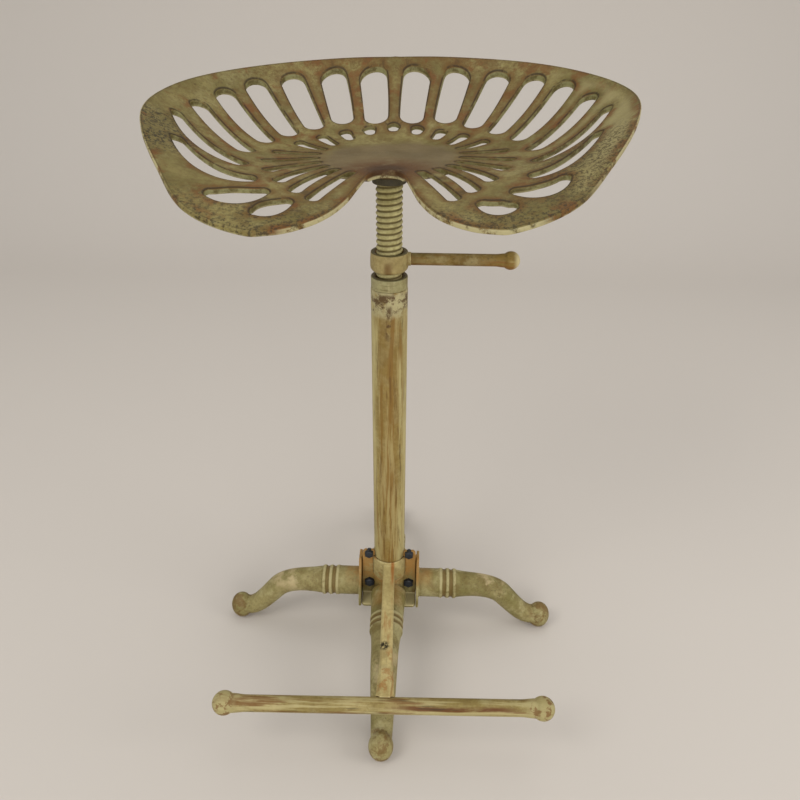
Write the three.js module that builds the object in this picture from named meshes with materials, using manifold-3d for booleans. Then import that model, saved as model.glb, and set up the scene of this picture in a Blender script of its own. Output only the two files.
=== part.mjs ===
// Tractor seat stool: a slotted cast seat on a coarse screw, a tubular post and four cast legs.
// Millimetres, +Z up. The origin is on the floor under the post, and the footrest points to -Y.

import * as THREE from 'three';
import { mergeVertices } from 'three/addons/utils/BufferGeometryUtils.js';
import Module from 'manifold-3d';

const wasm = await Module();
wasm.setup();

// Fits
const seatingGap = 0.3;
const runningGap = 0.3;
const overrun = 20;
const smallOverrun = 2;
const facets = 40;
const fineFacets = 20;
const legFacets = 14;
const ballFacets = 6;

// Heights of the column
const seatHeight = 607.5;
const seatAbovePost = 127.9;
const hubFloor = 57.5;
const hubTop = 90.7;

// Post and bush
const postRadius = 19;
const postWall = 3;
const postEdge = 0.8;
const bushLength = 25;
const bushProud = 12.7;
const bushHeadRadius = 18.3;
const bushBoreEdge = 1.5;

// Screw, its stop and its nut
const screwRadius = 13.2;
const screwEdge = 1.4;
const liftUp = 112.8;
const stopWasherThickness = 3.5;
const stopWasherPlay = 0.6;
const stopShankRadius = 4;
const stopShankLength = 22;
const stopHeadRadius = 6.5;
const stopHeadHeight = 5;
const jamNutRadius = 16.4;
const jamNutHeight = 7;
const jamNutEdge = 1.2;

// Lock collar and lever
const collarRadius = 19.2;
const collarHeight = 19.6;
const collarLift = 5.6;
const collarCrown = 0.5;
const collarTopEdge = 0.6;
const collarBoreEdge = 1.5;
const collarFootInset = 2.6;
const collarFootHeight = 4.4;
const leverRise = 11.7;
const leverRadius = 6.15;
const leverBossRadius = 7.2;
const leverBossReach = 21.8;
const leverReach = 130;
const leverBallRadius = 9.2;
const leverNeckLength = 9;
const leverFlare = 0.8;
const leverSpigotRadius = 4.6;
const leverSocketWall = 2.4;

// Seat
const seatHalfWidth = 223;
const backRise = 72;
const panLean = THREE.MathUtils.degToRad(1);
const discShare = 0.278;
const discEdge = 1.5;
const seatThickness = 7;
const frontRimThickness = 4.5;
const rimRound = 1.6;
const bossRadius = 24;
const bossDraft = 4;
const bossDepth = 9;
const socketDepth = 12;
const ringSlotCount = 21;
const ringSlotShares = { backShift: 0.099, reach: 0.44, frontReach: 0.148, width: 0.036, backWidth: 0.022 };
const ringSlotTaperShare = 0.8;
const ringSlotSweep = THREE.MathUtils.degToRad(306);

// Legs
const footReach = 200.1;
const legAxisHeight = 69.3;
const legRootRadius = 18.2;
const bandStart = 65.4;
const bandPitch = 8.75;
const bandWidth = 3.4;
const bandCount = 3;
const bandEdge = 0.7;
const bandRise = 1;
const bandGroove = 0.8;
const toeRadius = 14;
const toeHalfHeight = 18.6;
const toeAxisHeight = 17.6;

// Hub
const socketRadius = 21.7;
const socketGap = 0.3;
const earHalfWidth = 34.7;
const earTop = 128.6;
const rearEarTop = 112;
const earThickness = 5.5;
const earDraft = 1.2;
const earCorner = 3;
const hubShelfThickness = 4;
const hubShelfReach = 30;
const tongueThickness = 5;
const sidePlateThickness = 3.4;
const sidePlateTop = 115.5;
const sidePlateTopHalfWidth = 9;
const sidePlateShoulder = 9;

// Hub bolts
const boltRadius = 2.97;
const boltHeadAcrossFlats = 10;
const boltHeadHeight = 4;
const boltNutHeight = 5;
const boltEndLength = 2.2;
const boltOffset = 25.2;
const lowerBoltHeight = 77.5;
const upperBoltHeight = 125.6;
const boltHoleGap = 0.3;

// Footrest
const footrestRingRadius = 21.7;
const footrestRingTop = 120.5;
const footrestTurn = THREE.MathUtils.degToRad(1.3);
const footrestBarRadius = 8.2;
const footrestBarHeight = 85.8;
const footrestHalfLength = 181.2;
const footrestBallRadius = 11.9;
const footrestNeckLength = 16;
const footrestFlare = 1.2;
const armHalfWidth = 7.2;
const armEndHalfWidth = 10.4;
const armRootTop = 116.5;
const armRootBottom = 100;
const armDepth = 12.5;
const armBevel = 2;
const armEndSpread = 60;
const armGripShare = 0.7;

// Worked out from the sizes above
const postTop = seatHeight - seatAbovePost;
const postBore = postRadius - postWall;
const bushTop = postTop + bushProud;
const bushBottom = bushTop - bushLength;
const collarBottom = bushTop + collarLift;
const collarTop = collarBottom + collarHeight;
const leverHeight = collarBottom + leverRise;
const leverSocketEnd = screwRadius + runningGap + leverSocketWall;
const discRadius = discShare * seatHalfWidth;
const seatUnderside = seatHeight - seatThickness;
const bossBottom = seatUnderside - bossDepth;
const screwTop = bossBottom + socketDepth;
const screwBottom = bushBottom - liftUp - stopWasherThickness / 2;
const postBottom = hubFloor + seatingGap;
const earBack = tongueThickness / 2 + seatingGap;
const earFront = earBack + earThickness;
const footrestBarReach = footReach + toeRadius - footrestBallRadius
  - footrestHalfLength * Math.sin(footrestTurn);

const castIron = new THREE.MeshStandardMaterial({ color: 0x9a9066, roughness: 0.62, metalness: 0.15 });
const legIron = new THREE.MeshStandardMaterial({ color: 0x938a60, roughness: 0.6, metalness: 0.15 });
const screwSteel = new THREE.MeshStandardMaterial({ color: 0x8d8a63, roughness: 0.5, metalness: 0.35 });
const blackSteel = new THREE.MeshStandardMaterial({ color: 0x22252a, roughness: 0.55, metalness: 0.5 });

const stool = new THREE.Group();

function place(name, geometry, material, parent = stool) {
  const mesh = new THREE.Mesh(geometry, material);
  mesh.name = name;
  parent.add(mesh);
  return mesh;
}

// Joins and cuts

function toSolid(geometry) {
  const bare = geometry.index ? geometry.toNonIndexed() : geometry.clone();
  bare.deleteAttribute('normal');
  bare.deleteAttribute('uv');
  const merged = mergeVertices(bare);
  return new wasm.Manifold(new wasm.Mesh({
    numProp: 3,
    vertProperties: new Float32Array(merged.attributes.position.array),
    triVerts: new Uint32Array(merged.index.array),
  }));
}

function toGeometry(solid) {
  const mesh = solid.getMesh();
  const geometry = new THREE.BufferGeometry();
  geometry.setAttribute('position', new THREE.BufferAttribute(new Float32Array(mesh.vertProperties), 3));
  geometry.setIndex(new THREE.BufferAttribute(new Uint32Array(mesh.triVerts), 1));
  return geometry;
}

function joined(geometries) {
  return geometries.map(toSolid).reduce((whole, next) => whole.add(next));
}

function withCuts(solid, cutters) {
  return cutters.map(toSolid).reduce((whole, next) => whole.subtract(next), solid);
}

// Forms

function turned(points, segments = facets) {
  const profile = points.map(([radius, height]) => new THREE.Vector2(radius, height));
  return new THREE.LatheGeometry(profile, segments).rotateX(Math.PI / 2);
}

// A turned solid from its lower end to its upper end, with the ends closed on the axis
function turnedSolid(points, segments = facets) {
  const first = points[0];
  const last = points[points.length - 1];
  return turned([[0, first[1]], ...points, [0, last[1]]], segments);
}

// A turned ring: its outer profile from bottom to top, closed by a plain bore
function turnedRing(points, bore, segments = facets) {
  const first = points[0];
  const last = points[points.length - 1];
  const end = last[0] > bore ? [[bore, last[1]]] : [];
  return turned([[bore, first[1]], ...points, ...end, [bore, first[1]]], segments);
}

function cylinder(radius, low, high, segments = facets) {
  return turnedSolid([[radius, low], [radius, high]], segments);
}

function plate(shape, low, high) {
  const depth = high - low;
  return new THREE.ExtrudeGeometry(shape, { depth, bevelEnabled: false, curveSegments: 6 })
    .translate(0, 0, low);
}

function shapeOf(points) {
  return new THREE.Shape(points.map(([x, y]) => new THREE.Vector2(x, y)));
}

function box(lowX, highX, lowY, highY, lowZ, highZ) {
  return new THREE.BoxGeometry(highX - lowX, highY - lowY, highZ - lowZ)
    .translate((lowX + highX) / 2, (lowY + highY) / 2, (lowZ + highZ) / 2);
}

// A smooth curve through a table of [place, value] rows
function smoothValue(table, x) {
  const last = table.length - 1;
  if (x <= table[0][0]) return table[0][1];
  if (x >= table[last][0]) return table[last][1];
  const i = table.findIndex((row) => row[0] > x) - 1;
  const slope = (k) => {
    const a = table[Math.max(k - 1, 0)];
    const b = table[Math.min(k + 1, last)];
    return (b[1] - a[1]) / (b[0] - a[0]);
  };
  const [x0, y0] = table[i];
  const [x1, y1] = table[i + 1];
  const step = x1 - x0;
  const t = (x - x0) / step;
  const h0 = (1 + 2 * t) * (1 - t) ** 2;
  const h1 = t * (1 - t) ** 2;
  const h2 = t * t * (3 - 2 * t);
  const h3 = t * t * (t - 1);
  return h0 * y0 + h1 * step * slope(i) + h2 * y1 + h3 * step * slope(i + 1);
}

// Seat pan
// Every 15 degrees from the front centre to the back centre: rim radius as a share of the half width,
// rim height as a share of the back rise, and how late the bowl starts to rise.

const rimRadiusShares = [0.762, 0.78, 0.857, 0.928, 0.935, 0.967, 0.995, 0.987, 0.938, 0.903, 0.852, 0.789, 0.749];
const rimHeightShares = [-0.25, -0.26, -0.25, -0.065, 0.235, 0.535, 0.7, 0.799, 0.882, 0.931, 0.965, 0.993, 1];
const bowlPowers = [1, 1.2, 1.4, 1.7, 2.1, 2.4, 2.4, 2.35, 2.1, 1.85, 1.7, 1.6, 1.5];
const ringShares = [0, 0.1, 0.22, 0.35, 0.48, 0.61, 0.73, 0.85, 0.94, 1];
const seatColumns = 80;

// The angle is folded to the right half: -90 degrees is the front and 90 degrees the back
function fromFront(angle) {
  return Math.asin(Math.max(-1, Math.min(1, Math.sin(angle)))) + Math.PI / 2;
}

function rimTable(shares) {
  return shares.map((share, i) => [i * Math.PI / (shares.length - 1), share]);
}

const rimRadiusTable = rimTable(rimRadiusShares);
const rimHeightTable = rimTable(rimHeightShares);
const bowlPowerTable = rimTable(bowlPowers);

function rimRadius(angle) {
  return seatHalfWidth * smoothValue(rimRadiusTable, fromFront(angle));
}

function panHeight(x, y) {
  const angle = Math.atan2(y, x);
  const rise = backRise * smoothValue(rimHeightTable, fromFront(angle));
  const power = smoothValue(bowlPowerTable, fromFront(angle));
  const out = Math.max(0, (Math.hypot(x, y) - discRadius) / (rimRadius(angle) - discRadius));
  return seatHeight + rise * out ** power;
}

function panThickness(x, y) {
  const step = discEdge;
  const slopeX = (panHeight(x + step, y) - panHeight(x - step, y)) / (2 * step);
  const slopeY = (panHeight(x, y + step) - panHeight(x, y - step)) / (2 * step);
  const angle = Math.atan2(y, x);
  const out = Math.min(1, Math.max(0, (Math.hypot(x, y) - discRadius) / (rimRadius(angle) - discRadius)));
  const front = out * (1 - fromFront(angle) / Math.PI);
  return (seatThickness + (frontRimThickness - seatThickness) * front) * Math.hypot(1, slopeX, slopeY);
}

function panBlank() {
  const positions = [0, 0, seatHeight, 0, 0, seatHeight - seatThickness];
  const index = [];
  const rows = [];
  const addRow = (radiusAt, heightAt) => {
    const row = [];
    for (let i = 0; i < seatColumns; i += 1) {
      const angle = 2 * Math.PI * i / seatColumns;
      const radius = radiusAt(angle);
      const x = radius * Math.cos(angle);
      const y = radius * Math.sin(angle);
      row.push(positions.length / 3);
      positions.push(x, y, heightAt(x, y));
    }
    rows.push(row);
  };
  const between = (share) => (angle) => discRadius + share * (rimRadius(angle) - rimRound - discRadius);
  const top = (x, y) => panHeight(x, y);
  const bottom = (x, y) => panHeight(x, y) - panThickness(x, y);
  const middle = (x, y) => panHeight(x, y) - panThickness(x, y) / 2;
  ringShares.forEach((share) => addRow(between(share), top));
  addRow(rimRadius, middle);
  [...ringShares].reverse().forEach((share) => addRow(between(share), bottom));
  for (let r = 0; r + 1 < rows.length; r += 1) {
    for (let i = 0; i < seatColumns; i += 1) {
      const j = (i + 1) % seatColumns;
      index.push(rows[r][i], rows[r + 1][i], rows[r + 1][j]);
      index.push(rows[r][i], rows[r + 1][j], rows[r][j]);
    }
  }
  for (let i = 0; i < seatColumns; i += 1) {
    const j = (i + 1) % seatColumns;
    index.push(0, rows[0][i], rows[0][j]);
    index.push(1, rows[rows.length - 1][j], rows[rows.length - 1][i]);
  }
  const geometry = new THREE.BufferGeometry();
  geometry.setAttribute('position', new THREE.Float32BufferAttribute(positions, 3));
  geometry.setIndex(index);
  return geometry;
}

// A slot in plan: a curved centre line, a width at each end and rounded ends, shaped by shares of its width
const slotCapShares = { corner: 0.3, cornerReach: 0.27, tip: 0.34 };

function slotShape(line, innerWidth, outerWidth, steps) {
  const curve = new THREE.QuadraticBezierCurve(...line.map(([x, y]) => new THREE.Vector2(x, y)));
  const left = [];
  const right = [];
  for (let i = 0; i <= steps; i += 1) {
    const t = i / steps;
    const point = curve.getPoint(t);
    const tangent = curve.getTangent(t);
    const half = (innerWidth + (outerWidth - innerWidth) * t) / 2;
    left.push([point.x - tangent.y * half, point.y + tangent.x * half]);
    right.push([point.x + tangent.y * half, point.y - tangent.x * half]);
  }
  const capAt = (t, sign, width) => {
    const point = curve.getPoint(t);
    const tangent = curve.getTangent(t).multiplyScalar(sign);
    return [-1, 0, 1].map((side) => {
      const across = side * slotCapShares.corner * width;
      const along = (side === 0 ? slotCapShares.tip : slotCapShares.cornerReach) * width;
      return [
        point.x + tangent.x * along - tangent.y * across,
        point.y + tangent.y * along + tangent.x * across,
      ];
    });
  };
  return shapeOf([...right, ...capAt(1, 1, outerWidth), ...left.reverse(), ...capAt(0, -1, innerWidth)]);
}

// Large slots on the right side, from the back round to the front lobe.
// Three points of the centre line and the two widths, as shares of the seat's half width.
const largeSlotShares = [
  { line: [[0.083, 0.485], [0.088, 0.587], [0.099, 0.687]], widths: [0.11, 0.118] },
  { line: [[0.242, 0.475], [0.262, 0.583], [0.285, 0.682]], widths: [0.104, 0.124] },
  { line: [[0.368, 0.404], [0.415, 0.502], [0.475, 0.619]], widths: [0.094, 0.114] },
  { line: [[0.471, 0.309], [0.547, 0.408], [0.632, 0.516]], widths: [0.088, 0.11] },
  { line: [[0.556, 0.193], [0.65, 0.287], [0.749, 0.395]], widths: [0.08, 0.104] },
  { line: [[0.596, 0], [0.713, 0.123], [0.839, 0.251]], widths: [0.076, 0.088] },
  { line: [[0.574, -0.22], [0.744, -0.049], [0.883, 0.094]], widths: [0.074, 0.086] },
  { line: [[0.515, -0.386], [0.702, -0.398], [0.816, -0.158]], widths: [0.072, 0.088] },
  { line: [[0.44, -0.485], [0.53, -0.55], [0.61, -0.525]], widths: [0.088, 0.116] },
  { line: [[0.35, -0.54], [0.405, -0.592], [0.452, -0.614]], widths: [0.076, 0.094] },
];

// The front notch, from its apex down its right side, as shares of the seat's half width
const notchShares = [[0, -0.224], [0.045, -0.251], [0.076, -0.323], [0.099, -0.413], [0.126, -0.502],
  [0.166, -0.592], [0.224, -0.664], [0.314, -0.718], [0.413, -0.742], [0.5, -0.78]];

function seatOpenings() {
  const low = seatHeight - backRise;
  const high = seatHeight + 2 * backRise;
  const cutters = [];
  const scaled = (points) => points.map(([x, y]) => [x * seatHalfWidth, y * seatHalfWidth]);
  const mirrored = (points) => points.map(([x, y]) => [-x, y]);
  for (const { line, widths } of largeSlotShares) {
    const [inner, outer] = widths.map((share) => share * seatHalfWidth);
    cutters.push(plate(slotShape(scaled(line), inner, outer, 4), low, high));
    cutters.push(plate(slotShape(mirrored(scaled(line)), inner, outer, 4), low, high));
  }
  for (let i = 0; i < ringSlotCount; i += 1) {
    const turn = (i / (ringSlotCount - 1) - 0.5) * ringSlotSweep;
    const backShare = (1 + Math.cos(turn)) / 2;
    const innerShare = discShare + ringSlotShares.backShift * backShare ** 1.5;
    const outerShare = ringSlotShares.reach + ringSlotShares.frontReach * (1 - backShare);
    const width = seatHalfWidth * (ringSlotShares.width + ringSlotShares.backWidth * backShare ** 4);
    const inner = innerShare * seatHalfWidth + slotCapShares.tip * width;
    const outer = outerShare * seatHalfWidth - slotCapShares.tip * width;
    const along = (radius) => [radius * Math.sin(turn), radius * Math.cos(turn)];
    const line = [along(inner), along((inner + outer) / 2), along(outer)];
    cutters.push(plate(slotShape(line, ringSlotTaperShare * width, width, 1), low, high));
  }
  const side = scaled(notchShares).map(([x, y]) => new THREE.Vector2(x, y));
  const rightSide = new THREE.SplineCurve(side).getPoints(2 * side.length).map((p) => [p.x, p.y]);
  const leftSide = mirrored(rightSide).reverse();
  const ends = [[side[side.length - 1].x, -seatHalfWidth], [-side[side.length - 1].x, -seatHalfWidth]];
  cutters.push(plate(shapeOf([...leftSide.slice(0, -1), ...rightSide, ...ends]), low, high));
  return cutters;
}

function buildSeat() {
  const boss = turnedSolid([
    [bossRadius - bossDraft, bossBottom],
    [bossRadius, seatUnderside + smallOverrun],
  ]);
  const socket = cylinder(screwRadius + seatingGap, bossBottom - overrun, screwTop + seatingGap);
  const level = withCuts(toSolid(panBlank()), seatOpenings());
  const leanDegrees = THREE.MathUtils.radToDeg(panLean);
  const pan = level.translate([0, 0, -seatHeight]).rotate([0, -leanDegrees, 0]).translate([0, 0, seatHeight]);
  const casting = withCuts(pan.add(toSolid(boss)), [socket]);
  place('seat_casting', toGeometry(casting), castIron);
}

// Screw, jam nut and the stop at the screw's lower end

function buildScrew() {
  const shaft = turnedSolid([
    [screwRadius - screwEdge, screwBottom],
    [screwRadius, screwBottom + screwEdge],
    [screwRadius, screwTop - screwEdge],
    [screwRadius - screwEdge, screwTop],
  ]);
  const tapping = cylinder(
    stopShankRadius + seatingGap, screwBottom - overrun, screwBottom + stopShankLength, fineFacets);
  place('lift_screw', toGeometry(withCuts(toSolid(shaft), [tapping])), screwSteel);

  const nutTop = bossBottom - seatingGap;
  const nutBottom = nutTop - jamNutHeight;
  place('seat_jam_nut', turnedRing([
    [jamNutRadius - jamNutEdge, nutBottom],
    [jamNutRadius, nutBottom + jamNutEdge],
    [jamNutRadius, nutTop - jamNutEdge],
    [jamNutRadius - jamNutEdge, nutTop],
  ], screwRadius + seatingGap), blackSteel);

  const washerTop = screwBottom - runningGap;
  const washerBottom = washerTop - stopWasherThickness;
  const washerRadius = postBore - stopWasherPlay;
  place('stop_washer', turnedRing([
    [washerRadius, washerBottom],
    [washerRadius, washerTop],
  ], stopShankRadius + runningGap), screwSteel);

  const headTop = washerBottom - runningGap;
  place('stop_screw', turnedSolid([
    [stopHeadRadius, headTop - stopHeadHeight],
    [stopHeadRadius, headTop],
    [stopShankRadius, headTop],
    [stopShankRadius, screwBottom + stopShankLength - seatingGap],
  ], fineFacets), blackSteel);
}

// Post, with the threaded bush in its mouth: its head stands on the tube's end

function buildPost() {
  place('post_tube', turnedRing([
    [postRadius, postBottom],
    [postRadius, postTop - postEdge],
    [postRadius - postEdge, postTop],
  ], postBore), castIron);

  const bushRadius = postBore - seatingGap;
  const bushBore = screwRadius + runningGap;
  place('post_bush', turnedRing([
    [bushRadius, bushBottom],
    [bushRadius, postTop + seatingGap],
    [bushHeadRadius, postTop + seatingGap],
    [bushHeadRadius, bushTop - bushBoreEdge / 2],
    [bushHeadRadius - bushBoreEdge / 2, bushTop],
    [bushBore + bushBoreEdge, bushTop],
    [bushBore, bushTop - bushBoreEdge],
  ], bushBore), screwSteel);
}

// Lock collar and its lever

function buildLock() {
  const bore = screwRadius + runningGap;
  const ring = turnedRing([
    [collarRadius - collarFootInset, collarBottom],
    [collarRadius - collarFootInset / 4, collarBottom + collarFootHeight / 2],
    [collarRadius, collarBottom + collarFootHeight],
    [collarRadius, leverHeight],
    [collarRadius - collarCrown, collarTop - collarTopEdge],
    [collarRadius - collarCrown - collarTopEdge, collarTop],
    [bore + collarBoreEdge, collarTop],
    [bore, collarTop - collarBoreEdge],
  ], bore);
  const alongLever = (geometry) => geometry.rotateY(Math.PI / 2).translate(0, 0, leverHeight);
  const boss = alongLever(cylinder(leverBossRadius, bore + leverSocketWall, leverBossReach, fineFacets));
  const socket = alongLever(cylinder(
    leverSpigotRadius + seatingGap, leverSocketEnd, leverBossReach + overrun, fineFacets));
  place('lock_collar', toGeometry(withCuts(joined([ring, boss]), [socket])), castIron);

  const barStart = leverBossReach + seatingGap;
  const ballCentre = leverReach - leverBallRadius;
  const neckStart = ballCentre - leverBallRadius - leverNeckLength;
  const profile = [
    [leverSpigotRadius, leverSocketEnd + seatingGap],
    [leverSpigotRadius, barStart],
    [leverRadius, barStart],
    [leverRadius, neckStart],
    [leverRadius + leverFlare, ballCentre - leverBallRadius],
    ...ballProfile(leverBallRadius, ballCentre, leverRadius + leverFlare),
  ];
  place('lock_lever', alongLever(turnedSolid(profile, fineFacets)), castIron);
}

// The outside of a ball from a neck of a given radius to its pole
function ballProfile(radius, centre, neckRadius) {
  const steps = ballFacets;
  const start = Math.PI - Math.asin(neckRadius / radius);
  const points = [];
  for (let i = 0; i < steps; i += 1) {
    const angle = start * (1 - i / steps);
    points.push([radius * Math.sin(angle), centre + radius * Math.cos(angle)]);
  }
  points.push([radius * Math.sin(start / steps / 3), centre + radius]);
  return points;
}

// Leg
// The leg's axis from the hub to the toe, as shares of the foot's reach and of the axis height at the hub

const legAxisShares = [[0.04, 1], [0.3, 1], [0.45, 0.995], [0.57, 0.985], [0.64, 0.95], [0.69, 0.895],
  [0.73, 0.815], [0.775, 0.67], [0.82, 0.52], [0.865, 0.385], [0.91, 0.295], [0.95, 0.265], [0.99, 0.27]];

// Outside the bands: distance as a share of the foot's reach, radius as a share of the root radius
const legTaperShares = [[0.44, 0.95], [0.5, 0.87], [0.57, 0.82], [0.64, 0.8], [0.69, 0.785], [0.73, 0.77],
  [0.775, 0.745], [0.82, 0.715], [0.87, 0.69], [0.93, 0.67], [0.99, 0.65]];

function legStations() {
  const rows = [];
  const bandRadius = legRootRadius + bandRise;
  const grooveRadius = legRootRadius - bandGroove;
  for (let i = 0; i < bandCount; i += 1) {
    const start = bandStart + i * bandPitch;
    const before = i === 0 ? legRootRadius : grooveRadius;
    const after = i + 1 < bandCount ? grooveRadius : legTaperShares[0][1] * legRootRadius;
    rows.push([start - bandEdge, before], [start, bandRadius]);
    rows.push([start + bandWidth, bandRadius], [start + bandWidth + bandEdge, after]);
  }
  legTaperShares.forEach(([out, share]) => {
    const at = out * footReach;
    if (at > rows[rows.length - 1][0] + bandEdge) rows.push([at, share * legRootRadius]);
  });
  return rows;
}

function legGeometry(start) {
  const sides = legFacets;
  const axisTable = legAxisShares.map(([out, up]) => [out * footReach, up * legAxisHeight]);
  const axisHeight = (out) => smoothValue(axisTable, out);
  const positions = [];
  const index = [];
  const stations = [[start, legRootRadius], ...legStations()];
  const step = bandEdge;
  stations.forEach(([out, radius]) => {
    const slope = (axisHeight(out + step) - axisHeight(out - step)) / (2 * step);
    const normal = new THREE.Vector2(-slope, 1).normalize();
    for (let i = 0; i < sides; i += 1) {
      const angle = 2 * Math.PI * i / sides;
      const up = radius * Math.cos(angle);
      positions.push(out + normal.x * up, radius * Math.sin(angle), axisHeight(out) + normal.y * up);
    }
  });
  const first = positions.length / 3;
  const [lastOut] = stations[stations.length - 1];
  positions.push(start, 0, axisHeight(start), lastOut, 0, axisHeight(lastOut));
  const base = (stations.length - 1) * sides;
  for (let i = 0; i < sides; i += 1) {
    const j = (i + 1) % sides;
    for (let r = 0; r < base; r += sides) {
      index.push(r + i, r + sides + i, r + sides + j);
      index.push(r + i, r + sides + j, r + j);
    }
    index.push(first, i, j);
    index.push(first + 1, base + j, base + i);
  }
  const geometry = new THREE.BufferGeometry();
  geometry.setAttribute('position', new THREE.Float32BufferAttribute(positions, 3));
  geometry.setIndex(index);
  return geometry;
}

function toeGeometry() {
  return new THREE.SphereGeometry(1, 16, 10)
    .rotateX(Math.PI / 2)
    .scale(toeRadius, toeRadius, toeHalfHeight)
    .translate(footReach, 0, toeAxisHeight);
}

// A leg along +X, cut flat at the floor
function legSolid(start) {
  const floorCut = box(-overrun, footReach + toeRadius + overrun, -socketRadius - overrun,
    socketRadius + overrun, -overrun, 0);
  return withCuts(joined([legGeometry(start), toeGeometry()]), [floorCut]);
}

function boltHoles(heights) {
  const holes = [];
  for (const side of [-1, 1]) {
    for (const height of heights) {
      holes.push(cylinder(boltRadius + boltHoleGap, -hubShelfReach, hubShelfReach, fineFacets)
        .rotateX(Math.PI / 2)
        .translate(side * boltOffset, 0, height));
    }
  }
  return holes;
}

// Half of the hub with its own leg: it points to -Y and meets the other half under the post
function buildMainLeg(name, turn, top, boltHeights) {
  const half = earHalfWidth;
  const ears = shapeOf([
    [-half, hubFloor - hubShelfThickness],
    [half, hubFloor - hubShelfThickness],
    [half - earDraft, top - earCorner],
    [half - earDraft - earCorner, top],
    [earCorner + earDraft - half, top],
    [earDraft - half, top - earCorner],
  ]);
  const earPlate = plate(ears, earBack, earFront).rotateX(Math.PI / 2);
  const shelf = shapeOf([
    [-half, 0], [-half, -hubShelfReach + earCorner], [-half + earCorner, -hubShelfReach],
    [half - earCorner, -hubShelfReach], [half, -hubShelfReach + earCorner], [half, 0],
  ]);
  const shelfPlate = plate(shelf, hubFloor - hubShelfThickness, hubFloor);
  const socket = cylinder(socketRadius, hubFloor - hubShelfThickness, hubTop);
  const leg = legSolid(postRadius).rotate([0, 0, -90]);
  const farSide = box(-overrun - half, overrun + half, -socketGap / 2, overrun + half,
    -overrun, earTop + overrun);
  const postSpace = cylinder(postRadius + seatingGap, hubFloor, earTop + overrun);
  const ringSpace = cylinder(footrestRingRadius + seatingGap, hubTop, footrestRingTop + seatingGap);
  const tongueSpaces = [-1, 1].map((side) => box(
    side < 0 ? -half - overrun : socketRadius, side < 0 ? -socketRadius : half + overrun,
    -earBack, overrun, hubFloor, earTop + overrun));
  const solid = withCuts(joined([earPlate, shelfPlate, socket]).add(leg),
    [farSide, postSpace, ringSpace, ...tongueSpaces, ...boltHoles(boltHeights)]);
  place(name, toGeometry(solid), legIron).rotation.z = turn;
}

// A side leg: its plate closes the hub's side and its tongue is clamped between the ears
function buildSideLeg(name, turn) {
  const inner = earHalfWidth + seatingGap;
  const outer = inner + sidePlateThickness;
  const low = hubFloor - hubShelfThickness;
  const outline = shapeOf([
    [-hubShelfReach, low], [hubShelfReach, low],
    [hubShelfReach, low + sidePlateShoulder], [sidePlateTopHalfWidth, sidePlateTop],
    [-sidePlateTopHalfWidth, sidePlateTop], [-hubShelfReach, low + sidePlateShoulder],
  ]);
  const sidePlate = plate(outline, inner, outer).rotateX(Math.PI / 2).rotateZ(Math.PI / 2);
  const tongue = box(socketRadius + seatingGap, inner + sidePlateThickness / 2,
    -tongueThickness / 2, tongueThickness / 2, hubFloor + seatingGap, sidePlateTop);
  const lowerSlot = box(0, boltOffset, -hubShelfReach, hubShelfReach,
    lowerBoltHeight - boltRadius - boltHoleGap, lowerBoltHeight + boltRadius + boltHoleGap);
  const clamped = withCuts(joined([sidePlate, tongue]), [...boltHoles([lowerBoltHeight]), lowerSlot]);
  const solid = clamped.add(legSolid(inner + sidePlateThickness / 2));
  place(name, toGeometry(solid), legIron).rotation.z = turn;
}

// Hub bolts: the lower ones clamp both castings with nuts behind, the upper ones end in the front ears

function hexagon(acrossFlats, low, high) {
  return new THREE.CylinderGeometry(acrossFlats / Math.sqrt(3), acrossFlats / Math.sqrt(3), high - low, 6)
    .rotateX(Math.PI / 2)
    .translate(0, 0, (low + high) / 2);
}

function buildBolt(name, side, height, shankEnd) {
  const seat = earFront + seatingGap;
  const head = hexagon(boltHeadAcrossFlats, seat, seat + boltHeadHeight);
  const shank = cylinder(boltRadius, shankEnd, seat + smallOverrun, fineFacets);
  const bolt = new THREE.Group();
  bolt.rotation.x = Math.PI / 2;
  bolt.position.set(side * boltOffset, 0, height);
  stool.add(bolt);
  place(name, toGeometry(joined([head, shank])), blackSteel, bolt);
  return bolt;
}

function buildBolts() {
  const nutStart = earFront + seatingGap;
  const nutEnd = nutStart + boltNutHeight;
  for (const [sideName, side] of [['left', -1], ['right', 1]]) {
    buildBolt(`hub_bolt_upper_${sideName}`, side, upperBoltHeight, earBack);
    const bolt = buildBolt(`hub_bolt_lower_${sideName}`, side, lowerBoltHeight, -nutEnd - boltEndLength);
    const bore = cylinder(boltRadius + seatingGap, -nutEnd - overrun, nutEnd, fineFacets);
    const nut = withCuts(toSolid(hexagon(boltHeadAcrossFlats, -nutEnd, -nutStart)), [bore]);
    place(`hub_nut_lower_${sideName}`, toGeometry(nut), blackSteel, bolt);
  }
}

// Footrest: a ring round the post's foot, a sloping arm, and a crossbar in the arm's hollow end

function barGeometry(radius, flare, halfLength, ballRadius) {
  const ballCentre = halfLength - ballRadius;
  const neckStart = ballCentre - footrestNeckLength;
  const half = [
    [radius, 0],
    [radius, neckStart - footrestNeckLength],
    [radius + flare / 2, neckStart],
    [radius + flare, ballCentre - Math.sqrt(ballRadius ** 2 - (radius + flare) ** 2)],
    ...ballProfile(ballRadius, ballCentre, radius + flare).slice(1),
  ];
  const lower = half.slice(1).map(([r, z]) => [r, -z]).reverse();
  return turnedSolid([...lower, ...half], fineFacets).rotateY(Math.PI / 2);
}

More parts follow.
